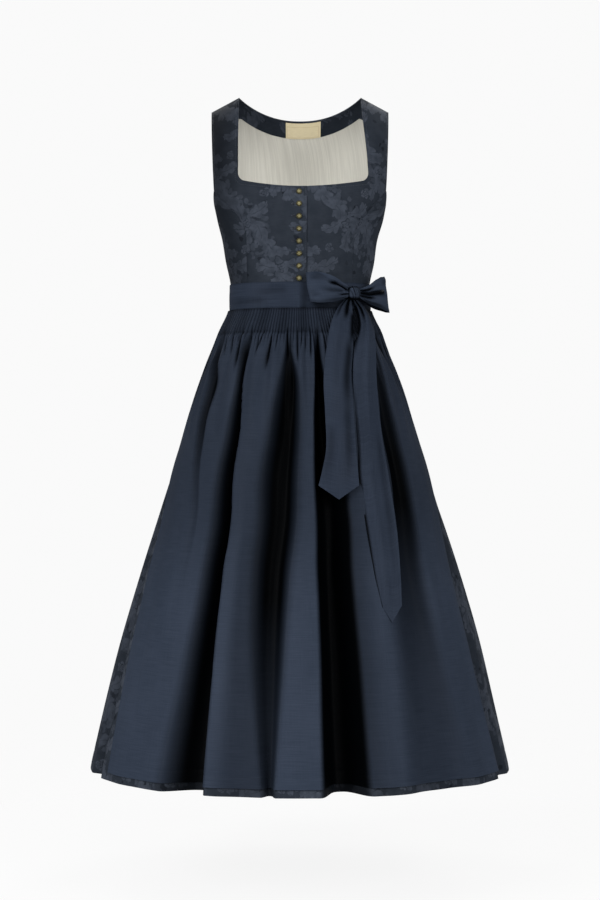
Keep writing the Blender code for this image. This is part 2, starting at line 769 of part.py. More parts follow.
def main():
    clear_scene()
    jacquard = make_material("jacquard", (0.022, 0.027, 0.040), 0.60)
    satin = make_material("satin", (0.030, 0.037, 0.055), 0.38)
    lining = make_material("lining", (0.48, 0.47, 0.40), 0.65)
    label = make_material("label", (0.68, 0.58, 0.35), 0.55)
    brass = make_material("brass", (0.55, 0.42, 0.22), 0.35, 1.0)

    right_centre = [FRONT_EDGE, -0.002]
    left_centre = [UNDERLAP_EDGE, FRONT_EDGE + 0.001, FRONT_EDGE + 0.005]
    front_panel("bodice_front_right", -1, right_centre, 0, jacquard)
    front_panel("bodice_front_left", 1, left_centre, 2, jacquard)
    side_panel("bodice_side_right", -1, jacquard)
    side_panel("bodice_side_left", 1, jacquard)
    back_pieces(jacquard, lining, label)
    for index in range(BUTTON_COUNT):
        height = BUTTON_FIRST - BUTTON_PITCH * index
        add_button(f"button_{index + 1}", height, brass)
    make_skirt_panel("skirt_front", -1.0, 1.0, APRON_COLUMNS, jacquard)
    make_skirt_panel("skirt_back_left", 1.0, 2.0, BACK_COLUMNS, jacquard)
    make_skirt_panel("skirt_back_right", 2.0, 3.0, BACK_COLUMNS, jacquard)
    make_apron("apron", satin)
    make_band("apron_band", satin)
    make_knot("bow_knot", satin)
    make_loop("bow_loop_right", LOOP_RIGHT, satin)
    make_loop("bow_loop_left", LOOP_LEFT, satin)
    make_tail("bow_tail_short", TAIL_SHORT, TAIL_SHORT_POINT, satin)
    make_tail("bow_tail_long", TAIL_LONG, TAIL_LONG_POINT, satin)


main()
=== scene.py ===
"""Looks of a navy dirndl with its apron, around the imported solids.

Metres, Z up, -Y the garment's front, X the viewer's right. Right and left in names are the
wearer's. The cloth is thin shells on the same rounded forms as the solids, with more folds.
"""

import math

import bpy
import numpy as np
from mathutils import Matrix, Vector


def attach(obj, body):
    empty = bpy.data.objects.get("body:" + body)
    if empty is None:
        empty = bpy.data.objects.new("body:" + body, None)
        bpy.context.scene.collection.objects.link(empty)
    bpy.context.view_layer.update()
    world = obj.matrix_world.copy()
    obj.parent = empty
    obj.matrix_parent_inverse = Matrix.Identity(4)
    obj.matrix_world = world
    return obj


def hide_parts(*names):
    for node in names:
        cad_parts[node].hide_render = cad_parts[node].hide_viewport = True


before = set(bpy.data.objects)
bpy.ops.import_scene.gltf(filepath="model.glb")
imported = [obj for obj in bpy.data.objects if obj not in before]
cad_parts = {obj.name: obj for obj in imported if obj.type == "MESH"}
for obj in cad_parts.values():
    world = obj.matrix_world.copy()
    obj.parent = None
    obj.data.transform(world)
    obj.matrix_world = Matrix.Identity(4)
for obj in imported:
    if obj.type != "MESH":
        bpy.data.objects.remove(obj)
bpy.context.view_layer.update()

# Camera and studio
CAMERA_DISTANCE = 3.8
CAMERA_HEIGHT = -0.6546
CAMERA_LENS = 80.0
SENSOR = 36.0
FLOOR_HEIGHT = -1.46
FLOOR_RADIUS = 2.2

# Cloth and seams
SEAM_GAP = 0.0003
BODICE_WALL = 0.0015
LINING_WALL = 0.0010
BAND_WALL = 0.0016
SHELL_WALL = 0.0012
TIE_SHELL = 0.0008
CREASE_ANGLE = 62.0

# Heights of the garment
SHOULDER_TOP = 0.014
CHEST_HEIGHT = -0.168
FRONT_NECK = -0.168
BACK_NECK = -0.021
WAIST_SEAM = -0.367
BODICE_BOTTOM = WAIST_SEAM + SEAM_GAP
BAND_TOP = -0.343
BAND_BOTTOM = -0.3915
APRON_TOP = BAND_BOTTOM - SEAM_GAP
APRON_HEM = -1.237
SKIRT_HEM = -1.2512
SKIRT_START = -0.386

# Neck, straps and armholes
NECK_HALF = 0.115
NECK_RIGHT_LOW = 0.127
NECK_CORNER_RISE = 0.010
NECK_CORNER = FRONT_NECK + NECK_CORNER_RISE
NECK_CORNER_RADIUS = 0.017
STRAP_TIP = 0.168
STRAP_DROP = 0.0285
SLOPE_START = -0.120
FRONT_ROUND = 0.65
BACK_ROUND = 0.55
ARMHOLE_SHARE = 0.973
ARMHOLE_DIP = 0.022
FACING_DEPTH = 0.030
LABEL_ENDS = (0.165, 0.240)
LABEL_SIZE = (0.066, 0.027)
FRONT_EDGE = 0.0125
UNDERLAP_EDGE = -0.012
BLOCK_TOP = -0.190
BLOCK_REACH = 0.80
SIDE_SHADE = 0.58
STRAP_SHADE = 0.24

# Buttons, in a row down the overlap, their buttonholes and the stitches
BUTTON_RADIUS = 0.0053
BUTTON_DEPTH = 0.0030
BUTTON_HEIGHTS = [-0.1783 - 0.0226 * index for index in range(8)]
BUTTON_X = -0.0016
BUTTON_STAND = 0.0005
BUTTONHOLE_LENGTH = 0.0115
BUTTONHOLE_HALF = 0.0011
BUTTONHOLE_STITCHES = 46
STITCH_LENGTH = 0.0026
STITCH_GAP = 0.0010
TOPSTITCH_IN = 0.0045

# Gathers and folds
APRON_PLEATS = 80
BACK_PLEATS = 34
GATHER_END = -0.4385
GATHER_SHADE = 0.30
GATHER_LINE_SHADE = 0.18
UPPER_SHADE = 0.30
HUMP_LIFT = 0.0030
FAN_FOLDS = 9.0
FAN_DRIFT = 1.25
RIM_SPREAD = 1.12
WALL_STEEPNESS = 1.5
BACK_CREASES = 30
BACK_CREASE_SEED = 7
APRON_HEM_SEAM = 0.021
SKIRT_HEM_SEAM = 0.031

# Bow
KNOT_ANGLE = 50.0
KNOT_HEIGHT = -0.3634
KNOT_SIZE = (0.0260, 0.0180, 0.0250)
TAIL_SHORT_POINT = 0.025
TAIL_LONG_POINT = 0.028

# Colours
SATIN_DARK = (0.0195, 0.0265, 0.0410, 1.0)
SATIN_LIGHT = (0.0285, 0.0370, 0.0560, 1.0)
# A darker copy of the satin for the band and the tails: painted shade.
TIE_SHADED_DARK = (0.0140, 0.0190, 0.0300, 1.0)
TIE_SHADED_LIGHT = (0.0225, 0.0295, 0.0450, 1.0)
GROUND = (0.0148, 0.0188, 0.0258, 1.0)
GROUND_LIGHT = (0.0200, 0.0245, 0.0328, 1.0)
MOTIF = (0.0382, 0.0452, 0.0600, 1.0)
OUTLINE = (0.0050, 0.0065, 0.0095, 1.0)
# The near black that the painted shade in folds and creases mixes toward.
PAINTED_SHADE_COLOUR = (0.0004, 0.0006, 0.0009, 1.0)
LINING_PALE = (0.650, 0.634, 0.568, 1.0)
LINING_SHADE = (0.565, 0.550, 0.493, 1.0)
LINING_STRIPE = (0.470, 0.457, 0.410, 1.0)
LINING_PAINTED_SHADE = (0.150, 0.146, 0.130, 1.0)
LABEL_GROUND = (0.735, 0.640, 0.425, 1.0)
LABEL_RIB = (0.66, 0.57, 0.37, 1.0)
LABEL_BORDER = (0.480, 0.350, 0.160, 1.0)
BRASS_DARK = (0.034, 0.030, 0.014, 1.0)
BRASS_BRIGHT = (0.215, 0.195, 0.105, 1.0)
THREAD = (0.030, 0.036, 0.055, 1.0)
WHITE = (1.0, 1.0, 1.0, 1.0)
STRIPE_PITCH = 0.0031
PATTERN_TILE = (0.132, 0.176)
PETALS_PER_METRE = 105.0


def numbers(columns, text, unit=1.0):
    """The numbers of a table, as rows, divided by its unit."""
    return np.array(text.split(), dtype=float).reshape(-1, columns) / unit


# Torso: height, half width, front, back, power of the section
TORSO = numbers(5, f"""
    {SHOULDER_TOP} 0.1726 0.1050 0.1060 3.0   {CHEST_HEIGHT} 0.1660 0.1160 0.1050 3.0
    -0.2150 0.1577 0.1185 0.1030 2.5   -0.2550 0.1475 0.1125 0.1000 2.4
    -0.3000 0.1398 0.1050 0.0965 2.3   -0.3430 0.1318 0.0998 0.0938 2.3
    -0.3670 0.1318 0.0995 0.0935 2.3   -0.4000 0.1318 0.0995 0.0935 2.3""")
# Seams of the sides: height, then the front and the back seam as shares of the half width
SEAMS = numbers(3, f"""
    {CHEST_HEIGHT} {ARMHOLE_SHARE} {ARMHOLE_SHARE}   -0.1900 0.882 0.860   -0.2130 0.765 0.730
    -0.2340 0.702 0.662   -0.2550 0.681 0.640   -0.3000 0.707 0.640   -0.3430 0.744 0.660
    {BODICE_BOTTOM} 0.744 0.660""")
# Skirt: height, half width, front, back, power of the section
SKIRT = numbers(5, f"""
    {WAIST_SEAM} 0.1309 0.0986 0.0926 2.3   {APRON_TOP} 0.1309 0.0986 0.0926 2.3
    -0.4300 0.1445 0.1130 0.1070 2.25   -0.5000 0.1715 0.1420 0.1360 2.2
    -0.5600 0.1940 0.1655 0.1595 2.15   -0.6600 0.2285 0.2020 0.1960 2.1
    -0.7700 0.2640 0.2395 0.2335 2.1   -0.8800 0.2995 0.2770 0.2710 2.1
    -0.9900 0.3310 0.3105 0.3045 2.1   -1.1100 0.3610 0.3425 0.3365 2.1
    {APRON_HEM} 0.3925 0.3755 0.3695 2.1   {SKIRT_HEM} 0.3952 0.3785 0.3725 2.1""")
# The apron's edges: height, then the angles of the right and the left edge
APRON_EDGES = numbers(3, f"""
    {APRON_TOP} -100 100   -0.56 -96 98   -0.66 -86 91   -0.77 -72 79   -0.88 -68 70.5
    -1.05 -64.5 67.5   {SKIRT_HEM} -61 66.3""")
# Height, how far the apron lies out from the skirt's form, the half depth of its pleats and of
# the skirt's, and of the fan of small folds below them
LAYERS = numbers(5, f"""
    {WAIST_SEAM} 0.0042 0.0011 0.0006 0        {APRON_TOP} 0.0042 0.0011 0.0006 0
    -0.430 0.0076 0.0016 0.0018 0.0004   -0.445 0.0079 0.0014 0.0017 0.0010
    -0.460 0.0080 0.0005 0.0014 0.0018   -0.480 0.0080 0.0001 0.0012 0.0024
    -0.500 0.0078 0 0.0009 0.0028   -0.560 0.0066 0 0.0004 0.0022
    -0.660 0.0036 0 0 0   {SKIRT_HEM} 0.0032 0 0 0""")

# Valleys of the large folds, in thousandths. Each has at six heights the places of both rims, the
# depth and the strength of the painted shade in it; then, as shares of the width, how softly that
# painted shade ends at each rim and how far across the bottom lies; and how far the shoulder beside
# it leans over. Places run along the cloth: -1 to 1 is the apron and the skirt's front, 1 to 3 the
# skirt's back.
VALLEY_HEIGHTS = np.array([-0.470, -0.530, -0.610, -0.745, -0.920, -1.240])
VALLEYS = numbers(28, """
    -720 -664 -680 -700 -700 -700   -640 -570 -612 -650 -650 -650
        8 9 7 3 0 0   800 950 800 250 0 0   350 200 550 0
    -445 -428 -450 -545 -550 -640   -380 -384 -366 -428 -424 -440
        12 22 32 42 46 50   920 1000 1000 1000 1000 1000   300 90 700 3
    -360 -350 -350 -370 -355 -385   -110 -130 -180 -250 -240 -170
        0 0 0 2 4 4   0 0 0 120 400 420   300 200 750 0
    -118 -146 -192 -272 -262 -200   -66 -18 -22 -64 -80 -146
        8 20 32 36 34 22   920 1000 1000 1000 1000 600   280 260 550 0
    100 86 62 40 76 54   152 166 185 245 285 264
        10 20 34 48 58 64   950 1000 1000 1000 1000 1000   60 60 500 3
    150 160 180 235 270 250   200 230 270 300 350 345
        0 0 0 2 4 4   0 0 100 300 480 480   100 900 200 0
    520 512 470 505 485 480   560 572 592 652 692 750
        4 9 16 19 10 0   600 850 950 1000 600 0   500 140 620 0
    440 440 440 460 462 420   480 480 500 600 740 800
        0 0 0 3 10 16   0 0 0 50 200 360   300 500 450 0
    1014 1001 983 953 961 978   1066 1058 1047 1029 1040 1062
        0 1 3 6 8 12   100 120 150 200 230 300   300 300 500 0
    1292 1287 1281 1271 1273 1277   1368 1370 1373 1377 1383 1396
        10 13 18 26 29 36   600 640 700 800 830 900   320 120 550 3
    1502 1497 1490 1479 1477 1474   1578 1578 1577 1577 1576 1576
        5 8 11 18 21 26   400 440 500 600 670 800   300 300 510 0
    1662 1663 1665 1669 1670 1672   1738 1747 1759 1779 1784 1793
        12 16 22 32 35 42   700 740 800 900 920 950   120 320 470 -3
    1882 1883 1885 1887 1881 1868   1958 1962 1968 1976 1970 1958
        5 7 11 16 18 22   400 440 500 600 650 750   300 300 500 0
    2062 2056 2048 2035 2036 2037   2138 2139 2140 2141 2146 2156
        12 17 23 34 37 44   700 750 820 950 950 950   320 120 530 3
    2272 2268 2263 2254 2255 2258   2348 2348 2348 2347 2348 2352
        7 10 13 20 22 25   400 450 530 650 700 800   300 300 500 0
    2462 2453 2440 2420 2422 2429   2538 2536 2532 2525 2530 2539
        10 15 21 32 35 40   700 740 800 900 920 950   120 320 480 -3
    2620 2616 2611 2602 2600 2597   2680 2679 2679 2678 2677 2673
        0 3 6 12 14 18   100 160 250 390 470 600   300 300 500 0
    2900 2899 2898 2896 2891 2882   2960 2961 2962 2964 2962 2958
        0 2 4 9 11 15   100 140 200 300 330 400   300 300 500 0""", 1000)
# Creases that fan out below the gathers, in ten-thousandths: the places and the heights of their
# upper and lower ends, the half width and the depth
CREASES = numbers(6, """
    -9400 -9300 -4250 -5600 160 45   -8600 -8450 -4300 -6000 180 50
    -8000 -7700 -4250 -5400 130 40   -6900 -6400 -4300 -4750 90 40
    -6300 -5710 -4300 -4850 100 60   -5640 -5260 -4300 -4850 90 55
    -5100 -4920 -4300 -4620 70 30   -4880 -4520 -4260 -5200 180 80
    -4150 -3930 -4280 -4680 90 55   -2900 -3380 -4260 -4840 80 50
    -3330 -3260 -4340 -4860 80 40   -2320 -2520 -4400 -5200 180 60
    -1800 -1900 -4300 -4800 80 35   -1140 -940 -4280 -5000 110 70
    -240 -210 -4280 -5060 100 70   200 -40 -4260 -4780 80 45
    470 350 -4280 -4840 80 45   880 700 -4260 -5000 100 70
    1490 1400 -4240 -5300 160 80   1900 2000 -4280 -5100 100 50
    2600 2750 -4240 -5800 150 50   3400 3450 -4300 -5200 130 45
    4200 4100 -4240 -6000 160 50   5000 5100 -4240 -5400 140 50
    5800 5750 -4300 -6000 150 45   6400 7750 -4040 -5600 340 85
    7600 8500 -4240 -6200 340 75   8500 9000 -4240 -5600 160 50
    9300 9450 -4300 -6000 140 40""", 10000)

# Loops of the bow, from knot to knot: angle, distance out from the band's face, bottom and top
LOOP_RIGHT = numbers(4, """
    43.1 0.0060 -0.3710 -0.3530   38.0 0.0035 -0.3740 -0.3480   28.0 0.0020 -0.3790 -0.3370
    15.0 0.0020 -0.3820 -0.3290   9.0 0.0040 -0.3820 -0.3275    7.5 0.0090 -0.3820 -0.3270
    10.0 0.0140 -0.3820 -0.3270   17.0 0.0180 -0.3830 -0.3260   28.0 0.0190 -0.3810 -0.3330
    38.0 0.0150 -0.3750 -0.3450   43.1 0.0120 -0.3710 -0.3510""")
LOOP_LEFT = numbers(4, """
    54.9 0.0072 -0.3720 -0.3560   61.0 0.0070 -0.3800 -0.3530   69.0 0.0130 -0.3900 -0.3430
    75.0 0.0240 -0.3950 -0.3310   76.5 0.0300 -0.3965 -0.3290   75.0 0.0350 -0.3965 -0.3290
    71.0 0.0360 -0.3950 -0.3310   65.0 0.0290 -0.3890 -0.3360   60.0 0.0190 -0.3820 -0.3480
    54.0 0.0125 -0.3720 -0.3550""")
# Tails of the bow: height, right and left edge seen from the front, distance out from the skirt
TAIL_SHORT = numbers(4, """
    -0.3756 0.0830 0.0950 0.0115   -0.3900 0.0710 0.0965 0.0165   -0.4150 0.0590 0.0980 0.0200
    -0.4570 0.0500 0.0980 0.0205   -0.5250 0.0430 0.0935 0.0170   -0.5800 0.0450 0.0970 0.0140
    -0.6500 0.0470 0.1010 0.0110   -0.6900 0.0400 0.1040 0.0100   -0.7180 0.0330 0.1060 0.0100""")
TAIL_LONG = numbers(4, """
    -0.3756 0.0985 0.1070 0.0115   -0.3950 0.1060 0.1260 0.0160   -0.4240 0.1100 0.1370 0.0175
    -0.4590 0.1010 0.1400 0.0170   -0.5250 0.0970 0.1410 0.0140   -0.5900 0.1010 0.1450 0.0105
    -0.6470 0.1050 0.1520 0.0080   -0.7170 0.1070 0.1630 0.0070   -0.7970 0.1190 0.1740 0.0065
    -0.8800 0.1330 0.1795 0.0060   -0.9310 0.1450 0.1805 0.0060""")

# Soft troughs and ridges in a strip of cloth: ends along and across it, half width, depth.
# Along runs from 0 to 1 from one end of the strip to the other, across from 0 at its bottom or
# right edge to 1, and a negative depth is a ridge.
RIGHT_LOOP_TROUGHS = numbers(6, """
    1.00 0.62 0.83 0.80 0.060 0.0090   0.86 0.80 0.77 0.66 0.055 0.0060
    1.00 0.30 0.84 0.26 0.050 0.0060   0.90 0.46 0.70 0.40 0.080 0.0026
    0.96 0.06 0.66 0.08 0.070 0.0024   0.74 0.92 0.60 0.70 0.120 0.0018
    0.66 0.20 0.56 0.44 0.100 0.0010   0.00 0.50 0.20 0.60 0.080 0.0020""")
LEFT_LOOP_TROUGHS = numbers(6, """
    1.00 0.56 0.66 0.50 0.070 0.0095   0.79 0.51 0.68 0.62 0.045 0.0038
    1.00 0.78 0.80 0.78 0.050 0.0060   1.00 0.30 0.78 0.36 0.050 0.0055
    0.96 0.08 0.66 0.08 0.070 0.0036   0.72 0.86 0.54 0.94 0.080 0.0018
    0.00 0.50 0.20 0.50 0.080 0.0020""")
SHORT_TAIL_TROUGHS = numbers(6, """
    0.00 0.62 0.12 0.70 0.130 0.0060   0.08 1.02 0.26 0.94 0.110 0.0060
    0.24 0.88 0.66 0.83 0.150 0.0038   0.00 0.16 0.12 0.22 0.080 0.0030
    0.60 0.80 1.00 0.76 0.130 0.0022   0.12 0.30 0.70 0.34 0.180 -0.0030
    0.70 0.20 1.00 0.12 0.140 0.0014""")
LONG_TAIL_TROUGHS = numbers(6, """
    0.00 0.45 0.08 0.40 0.120 0.0050   0.02 0.00 0.20 0.04 0.100 0.0060
    0.02 1.00 0.12 0.98 0.100 0.0030   0.06 0.70 0.50 0.52 0.150 -0.0030
    0.45 0.86 0.95 0.78 0.110 0.0015   0.34 0.02 1.02 0.02 0.075 0.0032
    0.55 0.40 1.00 0.46 0.140 -0.0022""")
BAND_TROUGHS = numbers(6, """
    0.05 0.62 0.16 0.50 0.16 0.0010   0.09 0.20 0.20 0.28 0.14 0.0009
    0.96 0.72 0.86 0.60 0.16 0.0009   0.90 0.30 0.76 0.24 0.14 0.0010
    0.30 0.60 0.44 0.68 0.16 0.0010   0.36 0.30 0.50 0.22 0.14 0.0009
    0.55 0.66 0.70 0.58 0.16 0.0010""")
# Creases of the fronts: x and z of both ends, half width, depth
BODICE_CREASES = numbers(6, """
    -0.060 -0.225 -0.115 -0.250 0.0060 0.0010   -0.040 -0.275 -0.090 -0.262 0.0060 0.0008
    -0.030 -0.325 -0.095 -0.338 0.0045 0.0010   -0.110 -0.120 -0.160 -0.140 0.0060 0.0008
    0.050 -0.235 0.110 -0.222 0.0065 0.0010   0.040 -0.290 0.085 -0.280 0.0055 0.0009
    0.060 -0.335 0.100 -0.322 0.0045 0.0010   0.125 -0.125 0.160 -0.105 0.0060 0.0008""")
# Upright creases of the knot: place, half width, depth
KNOT_CREASES = numbers(3, """
    -0.0088 0.0013 0.0014   -0.0034 0.0010 0.0026   0.0022 0.0009 0.0012
    0.0062 0.0010 0.0020   0.0100 0.0012 0.0014""")
# Motifs of the repeat, placed in shares of the tile: x, y, size in metres, turn in degrees, then
# a blossom's petals, or a leaf's width and bend
BLOSSOMS = numbers(5, """
    0.30 0.66 0.0165 12 6   0.80 0.20 0.0155 40 5   0.56 0.98 0.0105 5 5
    0.05 0.40 0.0100 65 5""")
LEAVES = numbers(6, """
    0.17 0.80 0.0250 118 0.62 0.35    0.46 0.62 0.0260 -62 0.66 -0.35
    0.47 0.78 0.0215 28 0.60 0.30     0.10 0.62 0.0210 205 0.60 -0.30
    0.28 0.48 0.0205 -100 0.58 0.25   0.62 0.42 0.0255 -50 0.64 0.32
    0.76 0.37 0.0200 20 0.58 -0.30    0.62 0.22 0.0225 165 0.60 0.30
    0.98 0.22 0.0230 8 0.62 0.28      0.88 0.05 0.0250 -58 0.64 -0.32
    0.71 0.04 0.0200 -120 0.58 0.25   0.02 0.92 0.0225 -35 0.60 0.30""")
# Waves round the whole cloth come in multiples of ROUND, so that they close at the back.
# Strength, waves round the cloth, waves up its height, phase
ROUND = math.pi / 2.0
SWELL = ((0.0009, 6 * ROUND, 5.0, 0.2), (0.0007, 10 * ROUND, -7.0, 1.7),
         (0.0006, 17 * ROUND, 11.0, 0.9), (0.0005, 3 * ROUND, 19.0, 2.6),
         (0.0004, 24 * ROUND, -15.0, 4.0))
# Rows of the back's body, lining part and facing part
BACK_STEPS = (45, 21, 13)


def clamp01(value):
    return np.clip(value, 0.0, 1.0)


def rise(low, high, value):
    """0 below low, 1 above high, smooth between them."""
    share = clamp01((value - low) / (high - low))
    return share * share * (3.0 - 2.0 * share)


def fall(low, high, value):
    """1 below low, 0 above high, smooth between them."""
    return 1.0 - rise(low, high, value)


def bell(distance, width):
    """1 at distance 0, falling softly on both sides."""
    return np.exp(-(distance / width) ** 2)


def curve(rows, values, spots):
    """Smooth curve through values at falling rows, read at spots."""
    number = np.arange(len(rows))
    before = np.maximum(number - 1, 0)
    after = np.minimum(number + 1, len(rows) - 1)
    slopes = (values[after] - values[before]) / (rows[after] - rows[before])
    spots = np.clip(spots, rows[-1], rows[0])
    index = np.clip(np.searchsorted(-rows, -spots, side="right") - 1, 0, len(rows) - 2)
    run = rows[index + 1] - rows[index]
    share = (spots - rows[index]) / run
    step = values[index + 1] - values[index]
    bend_start = slopes[index] * run - step
    bend_end = step - slopes[index + 1] * run
    rest = 1.0 - share
    return values[index] + share * step + share * rest * (rest * bend_start + share * bend_end)


def lookup(table, heights):
    """All columns after the first of a table whose first is the height, read at heights."""
    return [curve(table[:, 0], values, heights) for values in table.T[1:]]


def through(values, shares):
    """Smooth curve through evenly spaced values, read at shares from 0 to 1."""
    last = len(values) - 1
    return curve(-np.arange(last + 1.0), values, -last * clamp01(shares))


def stack(*columns):
    return np.stack(np.broadcast_arrays(*columns), axis=-1)


def unit(vectors):
    return vectors / np.maximum(np.linalg.norm(vectors, axis=-1, keepdims=True), 1e-12)


def steps_of(count, axis):
    """Shares from 0 to 1 in even steps, down a grid (axis 0) or across it (axis 1)."""
    return np.expand_dims(np.linspace(0.0, 1.0, count + 1), 1 - axis)


def uneven(start, *runs):
    """Levels from a start in even steps: each run gives its end and its number of steps."""
    levels = [start]
    for end, steps in runs:
        levels.extend(np.linspace(levels[-1], end, steps + 1)[1:])
    return np.array(levels)


def waves(first, second, terms):
    """Gentle uneven swell from a few crossed waves."""
    total = 0.0
    for strength, along, across, phase in terms:
        total = total + strength * np.sin(along * first + across * second + phase)
    return total


def trough_depth(along, across, troughs, stretch=1.0, ends=(-0.10, 0.12, 0.45, 1.05)):
    """Depth of a set of troughs at places along and across a strip."""
    total = np.zeros(np.broadcast(along, across).shape)
    for start, start_across, end, end_across, half, depth in troughs:
        run = np.array([end - start, (end_across - start_across) * stretch])
        length = np.hypot(*run)
        near_along = along - start
        near_across = (across - start_across) * stretch
        spot = (near_along * run[0] + near_across * run[1]) / length ** 2
        away = (near_along * -run[1] + near_across * run[0]) / length / (half * stretch)
        total = total + depth * (rise(*ends[:2], spot) * fall(*ends[2:], spot)) * bell(away, 1.0)
    return total


def edge_roll(distance, reach=0.0012, depth=0.0005):
    """How far a seamed or turned edge rolls in, by the distance to it."""
    return depth * bell(distance, reach)


# Meshes

def grid_normals(points, closed=False):
    """Unit normals of a grid of points, rows by columns."""
    if closed:
        across = np.roll(points, -1, axis=1) - np.roll(points, 1, axis=1)
    else:
        across = np.gradient(points, axis=1)
    return unit(np.cross(across, np.gradient(points, axis=0)))


def lengths_along(points, axis):
    """Distance along the grid from its first row or column."""
    steps = np.linalg.norm(np.diff(points, axis=axis), axis=-1)
    start = np.zeros_like(np.take(steps, [0], axis=axis))
    return np.concatenate([start, np.cumsum(steps, axis=axis)], axis=axis)


def make_piece(name, node, look, points, faces, uv=None, painted_shade_and_wear=None):
    """A piece that moves with the one body, takes a slot's finish and stands for its solid."""
    slot, materials = look
    mesh = bpy.data.meshes.new(name)
    mesh.from_pydata(np.asarray(points).tolist(), [], faces)
    if uv is not None:
        corners = np.empty(len(mesh.loops), dtype=np.int32)
        mesh.loops.foreach_get("vertex_index", corners)
        layer = mesh.uv_layers.new(name="cloth")
        layer.data.foreach_set("uv", uv[corners].astype(np.float32).reshape(-1))
    # The mesh attribute holds painted shade on the cloth, and the polished raised parts on the
    # buttons.
    if painted_shade_and_wear is not None:
        attribute = mesh.attributes.new("painted_shade_and_wear", "FLOAT", "POINT")
        attribute.data.foreach_set("value", painted_shade_and_wear.astype(np.float32))
    for material in materials:
        mesh.materials.append(material)
    mesh.shade_smooth()
    piece = bpy.data.objects.new(name, mesh)
    bpy.context.scene.collection.objects.link(piece)
    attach(piece, "root")
    if node:
        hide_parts(node)
    return piece


def shell(name, node, look, points, normals, faces, uv, thickness, painted_shade_and_wear):
    """A thin shell of cloth on a set of points: both faces and the rims between them.

    A triangle repeats its last corner. A second material is for the inner face.
    """
    used, packed = np.unique(faces, return_inverse=True)
    faces = packed.reshape(faces.shape)
    points, normals, uv, painted_shade_and_wear = [values[used] for values in (points, normals, uv, painted_shade_and_wear)]
    count = len(used)
    single = faces[:, 2] == faces[:, 3]
    triangles = np.concatenate([faces[:, [0, 1, 2]], faces[~single][:, [0, 2, 3]]])
    starts = triangles.reshape(-1)
    ends = np.roll(triangles, -1, axis=1).reshape(-1)
    edge = ~np.isin(starts * count + ends, ends * count + starts)
    starts, ends = starts[edge], ends[edge]
    rims = np.stack([ends, starts, starts + count, ends + count], axis=1)
    outer = faces[~single].tolist() + faces[single][:, :3].tolist()
    inner = [[index + count for index in reversed(face)] for face in outer]
    half = normals * thickness / 2.0
    piece = make_piece(name, node, look, np.concatenate([points + half, points - half]),
                       outer + inner + rims.tolist(), np.tile(uv, (2, 1)), np.tile(painted_shade_and_wear, 2))
    if len(look[1]) > 1:
        slots = np.zeros(len(piece.data.polygons), dtype=np.int32)
        slots[len(outer):2 * len(outer)] = 1
        piece.data.polygons.foreach_set("material_index", slots)
    piece.data.set_sharp_from_angle(angle=math.radians(CREASE_ANGLE))
    return piece


def grid_faces(rows, columns, keep=None, closed=False, first=0):
    """Quads of a grid of points, rows by columns, as indices."""
    row, column = np.meshgrid(np.arange(rows - 1), np.arange(columns if closed else columns - 1),
                              indexing="ij")
    if keep is not None:
        chosen = keep(row, column)
        row, column = row[chosen], column[chosen]
    here = (first + row * columns + column).reshape(-1)
    beside = (first + row * columns + (column + 1) % columns).reshape(-1)
    return np.stack([here, beside, beside + columns, here + columns], axis=1)


def grid_shell(name, node, look, points, uv, thickness, normals=None, painted_shade_and_wear=0.0, keep=None,
               closed=False, flip=False):
    """A shell on one grid of points."""
    rows, columns = points.shape[:2]
    if normals is None:
        normals = grid_normals(points, closed)
    faces = grid_faces(rows, columns, keep, closed)
    painted_shade_and_wear = np.broadcast_to(painted_shade_and_wear, (rows, columns)).reshape(-1)
    return shell(name, node, look, points.reshape(-1, 3), normals.reshape(-1, 3),
                 faces[:, ::-1] if flip else faces, uv.reshape(-1, 2), thickness, painted_shade_and_wear)


# Shader nodes

class Wire:
    """The output of a shader node. Arithmetic on it adds maths nodes to its tree."""

    def __init__(self, made, output=0):
        self.socket = made.outputs[output]

    def __add__(self, other):
        return maths("ADD", self, other)

    def __sub__(self, other):
        return maths("SUBTRACT", self, other)

    def __mul__(self, other):
        return maths("MULTIPLY", self, other)

    def __pow__(self, other):
        return maths("POWER", self, other)

    def __abs__(self):
        return maths("ABSOLUTE", self)

    def ramp(self, low, high, to_low=0.0, to_high=1.0):
        """From one end to the other as the wire goes from low to high."""
        inputs = {"Value": self, "From Min": low, "From Max": high, "To Min": to_low,
                  "To Max": to_high}
        return Wire(add_node("ShaderNodeMapRange", inputs, interpolation_type="SMOOTHSTEP"))


def feed(sockets, values):
    """Links wires to sockets, and sets other values on them."""
    for key, value in values.items():
        if isinstance(value, Wire):
            value.socket.id_data.links.new(value.socket, sockets[key])
        else:
            sockets[key].default_value = value


def add_node(kind, inputs, tree=None, **settings):
    """A node in the tree of its first wire, or in a given tree."""
    if tree is None:
        tree = next(value.socket.id_data for value in inputs.values() if isinstance(value, Wire))
    made = tree.nodes.new(kind)
    for key, value in settings.items():
        setattr(made, key, value)
    feed(made.inputs, inputs)
    return made


def source(material, kind, output, **settings):
    """A wire from a node without inputs."""
    return Wire(add_node(kind, {}, material.node_tree, **settings), output)


def maths(operation, first, second=0.0, third=0.0):
    return Wire(add_node("ShaderNodeMath", {0: first, 1: second, 2: third}, operation=operation))


def times_add(value, factor, more):
    return maths("MULTIPLY_ADD", value, factor, more)


def vector(operation, *values):
    made = add_node("ShaderNodeVectorMath", dict(enumerate(values)), operation=operation)
    return Wire(made, "Value" if operation in ("LENGTH", "DOT_PRODUCT") else "Vector")


def parts(wire):
    """The first two components of a vector."""
    return [vector("DOT_PRODUCT", wire, axis) for axis in ((1.0, 0.0, 0.0), (0.0, 1.0, 0.0))]


def blend(factor, first, second):
    inputs = {"Factor": factor, "A": first, "B": second}
    return Wire(add_node("ShaderNodeMix", inputs, data_type="RGBA"), "Result")


